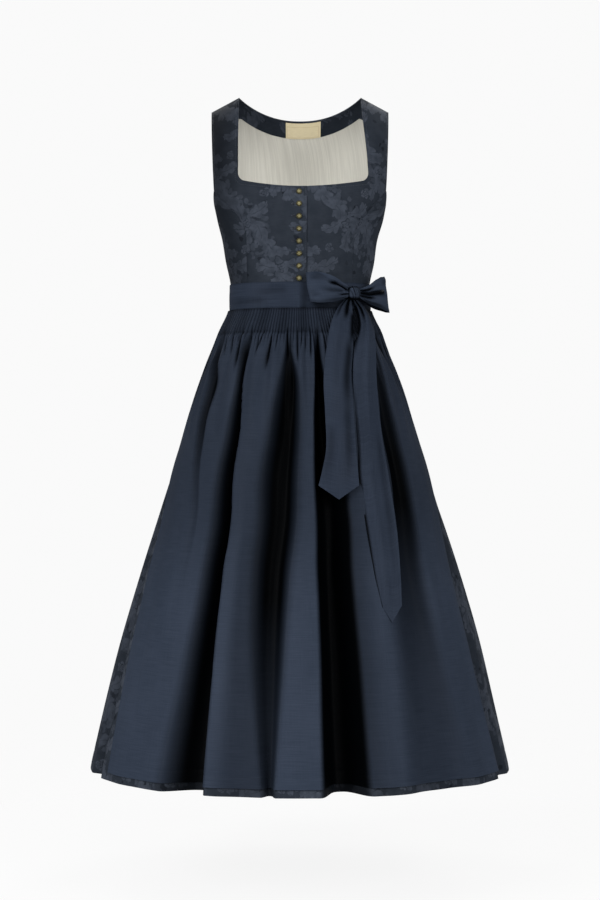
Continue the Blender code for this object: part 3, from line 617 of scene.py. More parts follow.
def noise(place, scale, detail=2.0, roughness=0.5, output="Fac"):
    """Noise at a scale, or at one scale along and another up the cloth."""
    if isinstance(scale, tuple):
        place = vector("MULTIPLY", place, (*scale, 1.0))
        scale = 1.0
    inputs = {"Vector": place, "Scale": scale, "Detail": detail, "Roughness": roughness}
    return Wire(add_node("ShaderNodeTexNoise", inputs), output)


def bump(height, strength, distance, **more):
    inputs = {"Strength": strength, "Distance": distance, "Height": height, **more}
    return Wire(add_node("ShaderNodeBump", inputs), "Normal")


def weave(place, pitch, strength):
    """Normals of a fine plain weave: threads both ways, each a little uneven."""
    scale = 1.0 / pitch
    warp = noise(place, (scale, scale * 0.06), 1.0)
    weft = noise(place, (scale * 0.06, scale), 1.0)
    return bump(warp + weft, strength, 0.0002)


# The woven pattern

def new_group(name, inputs):
    """A group that gives a mask: its tree, wires from its inputs, and the sockets of its end."""
    tree = bpy.data.node_groups.new(name, "ShaderNodeTree")
    for key, value in inputs.items():
        kind = "NodeSocketVector" if value is None else "NodeSocketFloat"
        socket = tree.interface.new_socket(key, in_out="INPUT", socket_type=kind)
        if value is not None:
            socket.default_value = value
    tree.interface.new_socket("Mask", in_out="OUTPUT", socket_type="NodeSocketFloat")
    entry = add_node("NodeGroupInput", {}, tree)
    leave = add_node("NodeGroupOutput", {}, tree)
    return tree, {key: Wire(entry, key) for key in inputs}, leave.inputs


MOTIF_INPUTS = {"Place": None, "Before": 0.0, "Centre": None, "Size": 0.02, "Turn": 0.0}


def motif_place(given):
    """Place in a motif's own frame: from its centre, wrapped round the tile, turned, in sizes."""
    half_tile = (PATTERN_TILE[0] / 2.0, PATTERN_TILE[1] / 2.0, 1.0)
    away = vector("SUBTRACT", given["Place"], given["Centre"])
    away = vector("WRAP", away, half_tile, tuple(-half for half in half_tile))
    turned = add_node("ShaderNodeVectorRotate", {"Vector": away, "Angle": given["Turn"]},
                      rotation_type="Z_AXIS")
    size = add_node("ShaderNodeVectorMath", {0: Wire(turned)}, operation="SCALE")
    feed(size.inputs, {"Scale": maths("DIVIDE", 1.0, given["Size"])})
    return Wire(size)


def blossom_group():
    """A full blossom: an outer round of broad petals, an inner round and a centre."""
    tree, given, leave = new_group("blossom", {**MOTIF_INPUTS, "Petals": 6.0})
    place = motif_place(given)
    radius = vector("LENGTH", place)
    along, across = parts(place)
    half_turns = maths("ARCTAN2", across, along) * (given["Petals"] * 0.5)
    lobe = abs(maths("COSINE", half_turns))
    outer_edge = times_add(lobe ** 0.55, 0.34, 0.66)
    inner_lobe = abs(maths("SINE", half_turns))
    inner_edge = times_add(inner_lobe ** 0.6, 0.20, 0.34)
    body = (outer_edge - radius).ramp(0.0, 0.11)
    cut = lobe.ramp(0.10, 0.22, 1.0, 0.0) * radius.ramp(0.50, 0.60)
    ring = abs(inner_edge - radius).ramp(0.02, 0.06, 1.0, 0.0)
    inner_cut = inner_lobe.ramp(0.10, 0.25, 1.0, 0.0) * radius.ramp(0.22, 0.30)
    inner_cut = inner_cut * radius.ramp(0.46, 0.52, 1.0, 0.0)
    heart = abs(radius - 0.17).ramp(0.02, 0.05, 1.0, 0.0)
    lines = maths("MAXIMUM", maths("MAXIMUM", cut, ring), maths("MAXIMUM", inner_cut, heart))
    mask = body * times_add(lines, -0.80, 1.0)
    feed(leave, {"Mask": maths("MAXIMUM", mask, given["Before"])})
    return tree


def leaf_group():
    """A scrolling leaf: round lobes point forward from a bent vein, with slits between them."""
    tree, given, leave = new_group("leaf", {**MOTIF_INPUTS, "Width": 0.4, "Bend": 0.2})
    along, across = parts(motif_place(given))
    side = abs(across - along * along * given["Bend"])
    forward = times_add(side, -0.70, along)
    taper = maths("MAXIMUM", times_add(forward * forward, -1.0, 1.0), 0.0)
    lobe = abs(maths("SINE", forward * 4.3))
    half = taper ** 0.5 * (given["Width"] * times_add(lobe ** 0.5, 0.55, 0.45))
    body = (half - side).ramp(0.0, 0.09)
    vein = side.ramp(0.012, 0.035, 1.0, 0.0)
    slit = lobe.ramp(0.04, 0.22, 0.75, 0.0) * side.ramp(0.10, 0.22)
    mask = body * times_add(maths("MAXIMUM", vein, slit), -0.62, 1.0)
    feed(leave, {"Mask": maths("MAXIMUM", mask, given["Before"])})
    return tree


def pattern_group():
    """The woven repeat: garlands of leaves and blossoms, edged with small rounded petals."""
    blossom, leaf = blossom_group(), leaf_group()
    tree, given, leave = new_group("sprays", {"Place": None})
    place = given["Place"]
    for scale, reach in ((45.0, 0.0130), (230.0, 0.0032)):
        waver = noise(given["Place"], scale, 1.0, output="Color")
        waver = vector("SUBTRACT", waver, (0.5, 0.5, 0.5))
        place = vector("ADD", place, vector("MULTIPLY", waver, (reach, reach, 0.0)))
    width, height = PATTERN_TILE
    petal = add_node("ShaderNodeTexVoronoi", {"Vector": place, "Scale": PETALS_PER_METRE},
                     voronoi_dimensions="2D")
    across, up = parts(Wire(petal, "Position"))
    wind = maths("SINE", up * (2.0 * math.pi / height))
    path = across + times_add(up, width / height, wind * (0.10 * width))
    off = maths("WRAP", path - 0.98 * width, width / 2, -width / 2)
    near = abs(off).ramp(0.020, 0.038, 1.0, 0.0)
    chance = parts(Wire(petal, "Color"))[0]
    chosen = (near - chance).ramp(-0.04, 0.04)
    round_edge = Wire(petal, "Distance").ramp(0.44, 0.54, 1.0, 0.0)
    tone = times_add(chance, -0.45, 0.80)
    total = chosen * round_edge * tone
    for group, keys, table in ((blossom, ("Petals",), BLOSSOMS), (leaf, ("Width", "Bend"), LEAVES)):
        for x, y, size, turn, *rest in table:
            inputs = {"Place": place, "Before": total, "Centre": (x * width, y * height, 0.0),
                      "Size": size, "Turn": math.radians(-turn), **dict(zip(keys, rest))}
            total = Wire(add_node("ShaderNodeGroup", inputs, node_tree=group), "Mask")
    feed(leave, {"Mask": total})
    return tree


# Materials

def new_material(name):
    """A material and the inputs of its shader."""
    material = bpy.data.materials.new(name)
    material.use_nodes = True
    return material, material.node_tree.nodes["Principled BSDF"].inputs


def cloth_material(name):
    """A material, the inputs of its shader, and the place on the cloth."""
    material, shader = new_material(name)
    return material, shader, source(material, "ShaderNodeUVMap", "UV", uv_map="cloth")


# The mesh attribute: painted shade on the cloth, the polished raised parts on the buttons.
def painted_shade_and_wear_of(material):
    return source(material, "ShaderNodeAttribute", "Fac", attribute_name="painted_shade_and_wear")


def satin_material(name, depth, dark, light):
    """Navy cotton satin: fine cross threads, some of them thicker, with painted shade in the folds.
    """
    material, shader, place = cloth_material(name)
    slub = noise(place, (14.0, 620.0), 2.0, 0.6)
    upright = noise(place, (900.0, 22.0), 1.0)
    broad = noise(place, (9.0, 6.0))
    mix = times_add(broad, 0.30, times_add(slub, 0.55, upright * 0.25))
    colour = blend(mix.ramp(0.35, 0.75), dark, light)
    feed(shader, {"Base Color": blend(painted_shade_and_wear_of(material) * depth, colour, PAINTED_SHADE_COLOUR),
                  "Normal": bump(slub, 0.18, 0.0003, Normal=weave(place, 0.0005, 0.22)),
                  "Roughness": slub.ramp(0.3, 0.7, 0.42, 0.50), "Specular IOR Level": 0.012})
    return material


def jacquard_material(name, pattern):
    """Navy jacquard: a matt ground with brighter, outlined sprays, with painted shade in the folds.
    """
    material, shader, place = cloth_material(name)
    mask = Wire(add_node("ShaderNodeGroup", {"Place": place}, node_tree=pattern), "Mask")
    threads = noise(place, (60.0, 1500.0), 1.0)
    mix = times_add(noise(place, 45.0), 0.6, threads * 0.4)
    ground = blend(mix.ramp(0.35, 0.65), GROUND, GROUND_LIGHT)
    patchy = noise(place, 75.0).ramp(0.30, 0.66, 0.42, 1.0)
    colour = blend(mask * patchy, ground, MOTIF)
    outline = mask.ramp(0.02, 0.14, 0.0, 0.75) * mask.ramp(0.24, 0.50, 1.0, 0.0)
    colour = blend(outline, colour, OUTLINE)
    feed(shader, {"Base Color": blend(painted_shade_and_wear_of(material) * 0.85, colour, PAINTED_SHADE_COLOUR),
                  "Roughness": mask.ramp(0.0, 1.0, 0.62, 0.46),
                  "Normal": weave(place, 0.0006, 0.25), "Specular IOR Level": 0.02})
    return material


def lining_material(name):
    """Pale lining with fine upright stripes, painted shade in small ripples and painted shade
    toward its ends.
    """
    material, shader, place = cloth_material(name)
    across = Wire(add_node("ShaderNodeSeparateXYZ", {0: place}))
    phase = maths("FRACT", maths("DIVIDE", across, STRIPE_PITCH))
    stripe = abs(phase - 0.5).ramp(0.07, 0.16, 1.0, 0.0)
    fade = noise(place, (220.0, 9.0), 1.0).ramp(0.45, 0.75)
    colour = blend(stripe * fade, LINING_PALE, LINING_STRIPE)
    # Painted shade of small ripples.
    ripple = noise(place, (290.0, 7.0), 3.0, 0.7).ramp(0.36, 0.64)
    colour = blend(ripple, colour, LINING_SHADE)
    feed(shader, {"Base Color": blend(painted_shade_and_wear_of(material), colour, LINING_PAINTED_SHADE),
                  "Normal": weave(place, 0.0005, 0.20), "Roughness": 0.62,
                  "Specular IOR Level": 0.30})
    return material


def label_material(name):
    """A bare woven label: ribbed cream cloth with a thin border."""
    material, shader, place = cloth_material(name)
    split = add_node("ShaderNodeSeparateXYZ", {0: place})
    insets = [maths("SUBTRACT", size / 2.0, abs(Wire(split, axis) - size / 2.0))
              for axis, size in enumerate(LABEL_SIZE)]
    line = abs(maths("MINIMUM", *insets) - 0.0024).ramp(0.0002, 0.0006, 0.55, 0.0)
    rib = noise(place, (90.0, 2600.0), 1.0)
    ground = blend(rib.ramp(0.35, 0.65), LABEL_GROUND, LABEL_RIB)
    feed(shader, {"Base Color": blend(line, ground, LABEL_BORDER),
                  "Normal": weave(place, 0.0004, 0.35), "Roughness": 0.50})
    return material


def brass_material(name):
    """Antique brass: bright on the raised parts, brown where polish does not reach."""
    material, shader = new_material(name)
    raised = painted_shade_and_wear_of(material)
    spots = noise(source(material, "ShaderNodeNewGeometry", "Position"), 1400.0)
    wear = times_add(spots, 0.35, raised * 0.9)
    feed(shader, {"Base Color": blend(wear.ramp(0.25, 1.00), BRASS_DARK, BRASS_BRIGHT),
                  "Roughness": wear.ramp(0.2, 0.9, 0.70, 0.55), "Metallic": 1.0,
                  "Normal": bump(spots, 0.15, 0.0001)})
    return material


def thread_material(name, colour):
    """Twisted sewing thread."""
    material, shader = new_material(name)
    twist = noise(source(material, "ShaderNodeNewGeometry", "Position"), 1800.0, 1.0)
    dark = tuple(value * 0.6 for value in colour[:3]) + (1.0,)
    feed(shader, {"Base Color": blend(twist, dark, colour), "Roughness": 0.55})
    return material


# Torso

def torso_size(height):
    """Half width, front depth, back depth and power of the torso's section at heights."""
    half_width, front, back, power = lookup(TORSO, height)
    above = np.asarray(height) > CHEST_HEIGHT
    up = clamp01((height - CHEST_HEIGHT) / (SHOULDER_TOP - CHEST_HEIGHT))
    left = 1.0 - up * up
    chest_front, chest_back, chest_power = TORSO[1, 2:]
    front = np.where(above, chest_front * left ** FRONT_ROUND, front)
    back = np.where(above, chest_back * left ** BACK_ROUND, back)
    return half_width, front, back, np.where(above, chest_power, power)


def torso_point(turn, height):
    """Points of the torso at turns in degrees, 0 in front, 90 at the left side, 180 behind."""
    half_width, front, back, power = torso_size(height)
    sine = np.sin(np.radians(turn))
    cosine = np.cos(np.radians(turn))
    x = np.sign(sine) * half_width * np.abs(sine) ** (2.0 / power)
    depth = np.where(cosine > 0.0, front, back)
    y = -np.sign(cosine) * np.maximum(depth * np.abs(cosine) ** (2.0 / power), SEAM_GAP / 2.0)
    past_neck = clamp01((np.abs(x) - NECK_HALF) / (STRAP_TIP - NECK_HALF))
    drop = STRAP_DROP * past_neck * rise(SLOPE_START, SHOULDER_TOP, height)
    return stack(x, y, height - drop)


def torso_normal(turn, height):
    """Outward normals of the torso, upright along the shoulder line."""
    step_turn = 0.2
    step_height = 0.0004
    across = torso_point(turn + step_turn, height) - torso_point(turn - step_turn, height)
    up = torso_point(turn, height) - torso_point(turn, height - step_height)
    normal = unit(np.cross(across, up))
    level = np.asarray(height) >= SHOULDER_TOP - 1e-6
    normal[..., 1] = np.where(level, 0.0, normal[..., 1])
    return unit(normal)


def turn_at(x, height, behind=False):
    """Turns whose points lie at distances x from the middle, at heights."""
    half_width, _, _, power = torso_size(height)
    share = np.minimum(np.abs(x) / half_width, 1.0)
    turn = np.degrees(np.arcsin(share ** (power / 2.0)))
    return np.copysign(180.0 - turn if behind else turn, x)


def torso_shade(points, side):
    """Painted shade on the torso's cloth toward its right side and on its right strap."""
    if side > 0:
        return 0.0
    share = np.abs(points[..., 0]) / torso_size(points[..., 2])[0]
    strap = STRAP_SHADE * rise(-0.20, -0.10, points[..., 2])
    return clamp01(SIDE_SHADE * rise(0.56, 0.96, share) + strap)


def neck_width(height, low):
    """Half width of a front's neckline above its corner, from its width at the corner."""
    return low + (NECK_HALF - low) * rise(NECK_CORNER, SHOULDER_TOP, height)


def neck_height(share):
    """Height of a front's neckline at shares of the way out to its corner."""
    return FRONT_NECK + NECK_CORNER_RISE * np.minimum(share, 1.0) ** 2


def bodice_creases(points, side):
    """Depth of the small puckers at the buttons and the soft creases of a front."""
    x, _, z = np.moveaxis(points, -1, 0)
    creases = BODICE_CREASES[BODICE_CREASES[:, 0] * side > 0.0]
    total = trough_depth(x, z, creases, ends=(-0.2, 0.3, 0.6, 1.2))
    overlap = rise(-0.030, -0.012, x) * fall(0.004, 0.012, x)
    for height in BUTTON_HEIGHTS:
        total = total + 0.0006 * overlap * bell(z - height, 0.0032)
    return total


def front_panel(name, node, look, side, centre, under, start):
    """One front: a block up to the neckline and a strap up to the shoulder.

    Its first columns lie at the places of the centre, some of them under the other front.
    """
    block_columns = 44
    strap_columns = 18
    neck_low = NECK_RIGHT_LOW if side > 0 else NECK_HALF
    low = np.linspace(BODICE_BOTTOM, BLOCK_TOP, 44)
    join = np.linspace(0.0, 1.0, 9)[1:]
    strap = uneven(0.0, (0.11, 10), (1.0, 29))[1:]
    height, outer_height = [
        np.concatenate([low, BLOCK_TOP + (level - BLOCK_TOP) * join,
                        level + (SHOULDER_TOP - level) * strap])[:, None]
        for level in (NECK_CORNER, CHEST_HEIGHT)]
    blend_in = np.concatenate([0.0 * low, join, 1.0 + 0.0 * strap])[:, None]
    outer = lookup(SEAMS, outer_height)[0] * torso_size(outer_height)[0] - SEAM_GAP / 2.0
    corner_left = NECK_CORNER_RADIUS - np.clip(height - NECK_CORNER, 0.0, NECK_CORNER_RADIUS)
    neck = neck_width(height, neck_low) - NECK_CORNER_RADIUS + np.sqrt(
        NECK_CORNER_RADIUS ** 2 - corner_left ** 2)
    guide = np.minimum(neck_low, BLOCK_REACH * outer)
    guide[len(low):] = guide[len(low) - 1]
    guide = guide + (neck - guide) * blend_in

    free = np.linspace(centre[-1], side * guide[:, 0], block_columns - len(centre) + 2, axis=1)
    x_block = np.concatenate([np.tile(centre, (len(height), 1)), free[:, 1:]], axis=1)
    dip = neck_height(np.abs(x_block) / guide) - NECK_CORNER
    run = steps_of(strap_columns, 1)[:, 1:]
    xs = np.concatenate([x_block, side * (guide + (outer - guide) * run)], axis=1)
    heights = np.concatenate([height + dip * blend_in, height + (outer_height - height) * run],
                             axis=1)
    turn = turn_at(xs, heights)
    points = torso_point(turn, heights)
    normals = torso_normal(turn, heights)
    across = lengths_along(points, 1)
    inset = edge_roll(across[:, [-1]] - across) + bodice_creases(points, side)
    if side < 0:
        inset = inset + edge_roll(across, 0.0010, 0.0004)
    inset[:, :under] += BODICE_WALL + 1.5 * SEAM_GAP
    points = points - normals * inset[..., None]

    def keep(row, column):
        return (column >= block_columns) | (row < len(low) + len(join) - 1)

    return grid_shell(name, node, look, points, stack(start + side * across, heights),
                      BODICE_WALL, normals, torso_shade(points, side), keep, flip=side < 0)


def side_panel(name, node, look, side, start):
    """One side, from the front seam round to the back seam, up to the armhole."""
    heights = np.linspace(BODICE_BOTTOM, CHEST_HEIGHT, 56)[:, None]
    half_width = torso_size(heights)[0]
    front, back = [share * half_width + SEAM_GAP / 2.0 for share in lookup(SEAMS, heights)]
    first = turn_at(front, heights)
    last = turn_at(back, heights, behind=True)
    run = steps_of(56, 1)
    turn = side * (first + (last - first) * run)
    row_number = np.interp(heights, SEAMS[::-1, 0], np.arange(len(SEAMS)))
    reach = rise(2, len(SEAMS) - 1, row_number)
    heights = heights - ARMHOLE_DIP * reach * np.sin(math.pi * run)
    points = torso_point(turn, heights)
    normals = torso_normal(turn, heights)
    across = lengths_along(points, 1)
    up = lengths_along(points, 0)
    roll = (edge_roll(across) + edge_roll(across[:, [-1]] - across)
            + edge_roll(up[[-1]] - up, 0.0010, 0.0004))
    swell = waves(turn, heights, ((0.0004, 0.05, 60.0, 0.3), (0.0003, 0.11, -85.0, 1.1)))
    points = points - normals * (roll + swell + 0.0004)[..., None]
    return grid_shell(name, node, look, points, stack(start + side * across, heights),
                      BODICE_WALL, normals, torso_shade(points, side), flip=side < 0)


def back_layer(name, node, look, shares, levels, inset, thickness, start=0.0, ripple=0.0,
               shorten=0.0, label=False, end_shade=0.0):
    """A shell on the back between two of its levels, in from its middle face.

    The levels are 0 at the waist, 1 at the chest, 2 at the facing's lower edge and 3 at the
    neckline and the shoulder line.
    """
    top = BACK_NECK + (SHOULDER_TOP - BACK_NECK) * np.minimum(
        np.abs(shares * STRAP_TIP) / NECK_HALF, 1.0) ** 2.2
    lines = [line + 0.0 * shares for line in (BODICE_BOTTOM, CHEST_HEIGHT, top - FACING_DEPTH, top)]
    low, high = levels
    heights = uneven(lines[low], *zip(lines[low + 1:high + 1], BACK_STEPS[low:high]))
    outer = lookup(SEAMS, heights)[1] * torso_size(heights)[0] - SEAM_GAP / 2.0
    turn = turn_at(shares * outer, heights, behind=True)
    heights[-1] -= shorten
    points = torso_point(turn, heights)
    normals = torso_normal(turn, heights)
    across = lengths_along(points, 1)
    along = lengths_along(points, 0)
    wave = ripple * np.sin(across * 2.0 * math.pi / 0.021 + 1.3 * np.sin(across * 31.0))
    wave = np.maximum(wave, 0.0) * rise(0.0, 0.08, along)
    points = points - normals * (inset + wave)[..., None]
    uv = stack(across, along) if label else stack(start - across, heights)
    # Painted shade toward both ends of the layer.
    to_end = np.abs(2.0 * steps_of(len(shares) - 1, 1) - 1.0)
    return grid_shell(name, node, look, points, uv, thickness, normals,
                      end_shade * rise(0.15, 0.80, to_end))


# Skirt and apron

def section_radius(angle, half_width, front, back, power):
    """Distance out to a rounded section at angles in degrees, 0 in front."""
    sine = np.abs(np.sin(np.radians(angle)))
    cosine = np.cos(np.radians(angle))
    depth = np.where(cosine > 0.0, front, back)
    return ((sine / half_width) ** power + (np.abs(cosine) / depth) ** power) ** (-1.0 / power)


def skirt_radius(angle, height):
    return section_radius(angle, *lookup(SKIRT, height))


def outward_at(angle):
    """Level directions out at angles in degrees, 0 in front."""
    angle = np.radians(angle)
    return stack(np.sin(angle), -np.cos(angle), 0.0)


def around(angle, radius, height):
    """Points out from the middle at angles, distances and heights."""
    points = outward_at(angle) * radius[..., None]
    points[..., 2] += height
    return points


def cloth_angle(place, height):
    """Angles at places along the cloth: -1 to 1 across the apron, 1 to 3 round the back."""
    right, left = lookup(APRON_EDGES, height)
    front = right + (left - right) * (place + 1.0) / 2.0
    behind = left + (360.0 + right - left) * (place - 1.0) / 2.0
    return np.where(place <= 1.0, front, behind)


def large_folds(place, height):
    """Depth of the large folds, the lean of their shoulders, and how light their painted shade
    leaves each place.
    """
    depth, lean, light = 0.0, 0.0, 1.0
    for valley in VALLEYS:
        low, high, own_depth, shade = [curve(VALLEY_HEIGHTS, values, height)
                                       for values in valley[:24].reshape(4, 6)]
        soft_low, soft_high, bottom_share, own_lean = valley[24:]
        width = high - low
        middle = (low + high) / 2.0
        near = middle + (place - middle + 2.0) % 4.0 - 2.0
        bottom = low + width * bottom_share
        reach_low = (bottom - low) * RIM_SPREAD
        reach_high = (high - bottom) * RIM_SPREAD
        away = np.where(near < bottom, (bottom - near) / reach_low, (near - bottom) / reach_high)
        depth = depth + own_depth * (
            0.5 + 0.5 * np.cos(math.pi * clamp01(away) ** WALL_STEEPNESS))
        dark = (rise(low - width * soft_low, low + width * soft_low, near)
                * fall(high - width * soft_high, high + width * soft_high, near))
        light = light * (1.0 - clamp01(shade) * dark)
        rim, reach = (high, reach_high) if own_lean > 0.0 else (low, reach_low)
        lean = lean - own_lean * bell(near - rim, 0.35 * reach) * clamp01(own_depth / 0.04)
    fade = rise(APRON_TOP - 0.03, VALLEY_HEIGHTS[0] - 0.01, height)
    return depth * fade, lean * fade, 1.0 - (1.0 - light) * fade


def fan_creases(place, height, creases):
    """Depth of the short creases that fan out below the gathers, and how light their painted shade
    leaves each place.
    """
    total, light = 0.0, 1.0
    for place_top, place_low, top, low, half, depth in creases:
        share = (top - height) / (top - low)
        middle = place_top + (place_low - place_top) * clamp01(share)
        half = half * (0.45 + 0.75 * clamp01(share))
        away = ((place - middle + 2.0) % 4.0 - 2.0) / half
        ditch = rise(-0.12, 0.22, share) * fall(0.45, 1.05, share) * np.exp(-np.abs(away) ** 1.6)
        total = total + depth * ditch
        light = light * (1.0 - 0.92 * clamp01(depth / 0.0060) * rise(0.08, 0.80, ditch))
    return total, light


def pleats(place, count, phase):
    """Rounded pleats of uneven width, from -1 in the narrow dips to 1 on the ridges."""
    drift = 0.28 * np.sin(5 * ROUND * place + phase) + 0.17 * np.sin(15 * ROUND * place + phase)
    wave = np.abs(np.cos(math.pi * (count * place + drift)))
    return 2.0 * wave ** 0.75 - 1.0


def cloth_form(place, height, lift, pleat_depth, count, creases, phase=0.0):
    """Points of the skirt's form with all its folds, and how dark the painted shade is at each
    place.
    """
    angle = cloth_angle(place, height)
    depth, lean, light = large_folds(place, height)
    small, small_light = fan_creases(place, height, creases)
    drift = 0.35 * np.sin(2.0 * math.pi * FAN_DRIFT * place)
    fan = lookup(LAYERS, height)[3] * np.cos(2.0 * math.pi * (FAN_FOLDS * place + drift))
    swell = waves(place, height, SWELL) * rise(-0.50, -0.75, height)
    ripple = pleats(place, count, phase)
    hump = (HUMP_LIFT * rise(GATHER_END + 0.001, GATHER_END - 0.006, height)
            * fall(GATHER_END - 0.03, GATHER_END - 0.13, height)
            * fall(0.80, 0.98, np.abs(np.sin(np.radians(angle)))))
    radius = skirt_radius(angle, height) - depth - small + fan + swell + hump + lift
    radius = radius + pleat_depth * ripple
    points = around(angle + np.degrees(lean / radius), radius, height)

    # Painted shade: in the dips of the pleats, over the gathers and along their ragged lower edge,
    # on the upper skirt and its flanks, and a painted shadow under the bow.
    dips = (0.5 - 0.5 * ripple) ** 1.3 * clamp01(pleat_depth / 0.0012)
    uneven_dips = 0.70 + 0.30 * np.sin(74 * ROUND * place + 1.0) * np.sin(118 * ROUND * place)
    dips = dips * uneven_dips * (0.38 + 0.40 * rise(GATHER_END - 0.02, GATHER_END, height))
    rag = 0.0022 * np.sin(38 * ROUND * place) * np.sin(66 * ROUND * place + 1.0)
    ragged = height - GATHER_END + rag
    gathered = rise(-0.003, 0.002, ragged) * (
        GATHER_SHADE + GATHER_LINE_SHADE * bell(ragged, 0.0045)
        + 0.10 * np.sin(22 * ROUND * place + 0.6) + 0.40 * bell(height - APRON_TOP, 0.0022))
    upper = UPPER_SHADE * fall(-0.72, -0.96, height)
    flank_shade = 0.35 * rise(0.40, 0.75, np.abs(np.sin(np.radians(angle / 2.0))))
    flank_shade = flank_shade * rise(-0.62, -0.50, height)
    from_knot = (angle - KNOT_ANGLE + 180.0) % 360.0 - 180.0 + 1.0
    bow_shadow = 0.85 * bell(from_knot, 8.0) * rise(-0.475, -0.440, height)
    for dark in (dips, gathered, upper, flank_shade, bow_shadow):
        light = light * (1.0 - dark)
    return points, clamp01(1.0 - light * small_light)


def make_apron(satin):
    """The apron: dense pleats at the band, fanning out into the large folds.

    Below the pleats it has half as many columns, and a row of faces joins the two parts.
    """
    upper_rows = uneven(APRON_TOP, (-0.432, 7), (-0.447, 8), (-0.500, 11), (-0.530, 4))
    lower_rows = uneven(-0.530, (-0.700, 22), (APRON_HEM + 0.024, 46), (APRON_HEM + 0.018, 3),
                        (APRON_HEM + 0.002, 3), (APRON_HEM, 2))[1:]
    upper_columns = 8 * APRON_PLEATS
    lower_columns = 4 * APRON_PLEATS
    grids = []
    for rows, columns in ((upper_rows, upper_columns), (lower_rows, lower_columns)):
        place = np.linspace(-1.0, 1.0, columns + 1)[None, :]
        height = rows[:, None]
        lift, depth, _, _ = lookup(LAYERS, height)
        points, painted_shade_and_wear = cloth_form(place, height, lift, depth, APRON_PLEATS / 2.0, CREASES)
        seam = 0.0007 * bell(height - APRON_HEM - APRON_HEM_SEAM, 0.0016)
        turned = 0.0006 * bell((1.0 - np.abs(place)) * 0.55 - 0.006, 0.0022)
        points = points - outward_at(cloth_angle(place, height)) * (seam + turned)[..., None]
        grids.append((points.reshape(-1, 3), -grid_normals(points).reshape(-1, 3),
                      stack(place * 0.58, height).reshape(-1, 2), painted_shade_and_wear.reshape(-1)))
    points, normals, uv, painted_shade_and_wear = [np.concatenate(values) for values in zip(*grids)]
    first_low = len(upper_rows) * (upper_columns + 1)
    above = first_low - (upper_columns + 1) + 2 * np.arange(lower_columns)
    below = first_low + np.arange(lower_columns)
    quads = np.concatenate([grid_faces(len(upper_rows), upper_columns + 1),
                            grid_faces(len(lower_rows), lower_columns + 1, first=first_low),
                            np.stack([above, above + 1, below + 1, below], axis=1)])
    wedges = np.stack([below + 1, above + 2, above + 1, above + 1], axis=1)
    faces = np.concatenate([quads[:, ::-1], wedges])
    return shell("apron_cloth", "apron", ("satin", [satin]), points, normals, faces, uv,
                 SHELL_WALL, painted_shade_and_wear)


def back_creases():
    """Short creases of the skirt's back, as uneven as the apron's."""
    spread = np.random.default_rng(BACK_CREASE_SEED)
    creases = []
    for index in range(BACK_CREASES):
        place = 1.02 + 1.96 * (index + 0.5 + 0.3 * spread.uniform(-1.0, 1.0)) / BACK_CREASES
        top = -0.420 - 0.015 * spread.random()
        low = top - 0.07 - 0.12 * spread.random()
        lean = 0.02 * spread.uniform(-1.0, 1.0)
        creases.append((place, place + lean, top, low, 0.015 + 0.008 * spread.random(),
                        0.0035 + 0.003 * spread.random()))
    return creases


def make_skirt_panel(name, node, first, last, columns, creases, pleat_count, material, width):
    """One width of the skirt between two places, gathered at the waist, falling to the hem."""
    place = np.linspace(first, last, columns + 1)[None, :]
    height = uneven(SKIRT_START, (-0.440, 16), (-0.520, 16), (-0.700, 20), (SKIRT_HEM + 0.034, 44),
                    (SKIRT_HEM + 0.028, 3), (SKIRT_HEM + 0.002, 3), (SKIRT_HEM, 2))[:, None]
    depth = lookup(LAYERS, height)[2]
    points, painted_shade_and_wear = cloth_form(place, height, 0.0, depth, pleat_count, creases, 1.9)
    out = outward_at(cloth_angle(place, height))
    seam = 0.0008 * bell(height - SKIRT_HEM - SKIRT_HEM_SEAM, 0.0018)
    across = lengths_along(points, 1)
    roll = edge_roll(across, 0.0014, 0.0006) + edge_roll(across[:, [-1]] - across, 0.0014, 0.0006)
    points = points - out * (seam + roll)[..., None]
    along = stack(-out[..., 1], out[..., 0], 0.0)
    points[:, 0] += along[:, 0] * SEAM_GAP / 2.0
    points[:, -1] -= along[:, -1] * SEAM_GAP / 2.0
    return grid_shell(name, node, ("jacquard", [material]), points, stack(place * width, height),
                      SHELL_WALL, -grid_normals(points), painted_shade_and_wear, flip=True)


# Band and bow

def band_point(angle, height, out):
    """Points at distances out from the band's outer face."""
    radius = section_radius(angle, *torso_size(np.minimum(height, BAND_TOP)))
    radius = radius + BODICE_WALL / 2.0 + SEAM_GAP + BAND_WALL + out
    return around(angle, radius, height)


def make_band(satin):
    """The apron's band and ties, wound round the waist."""
    columns = 300
    share = steps_of(20, 0)
    turn = np.arange(columns)[None, :] / columns
    angle = 360.0 * turn
    height = BAND_BOTTOM + (BAND_TOP - BAND_BOTTOM) * share
    from_edge = np.minimum(share, 1.0 - share)
    rounded = 0.0006 * bell(from_edge, 0.03)
    stitch = 0.0003 * bell(from_edge - 0.06, 0.02)
    crease = trough_depth(turn, share, BAND_TROUGHS, 0.12)
    swell = waves(angle, height, ((0.0003, 0.05, 40.0, 0.0), (0.0002, 0.13, -90.0, 2.0)))
    points = band_point(angle, height, -BAND_WALL / 2.0 - rounded - stitch - crease + swell)
    # Painted shade: in the creases, a painted shadow beside and under the right loop, and darker
    # toward both edges.
    beside = 0.55 * bell(angle - 4.0, 4.5) * (1.0 - 0.4 * share)
    below = 0.60 * np.exp(-((angle - 26.0) / 14.0) ** 4) * fall(0.1, 0.3, share)
    edges = 0.35 * bell(from_edge, 0.035)
    return grid_shell("apron_waistband", "apron_band", ("satin", [satin]), points,
                      stack(turn * 0.74, height), BAND_WALL * 0.8, closed=True,
                      painted_shade_and_wear=clamp01(crease / 0.003 + beside + below + edges))


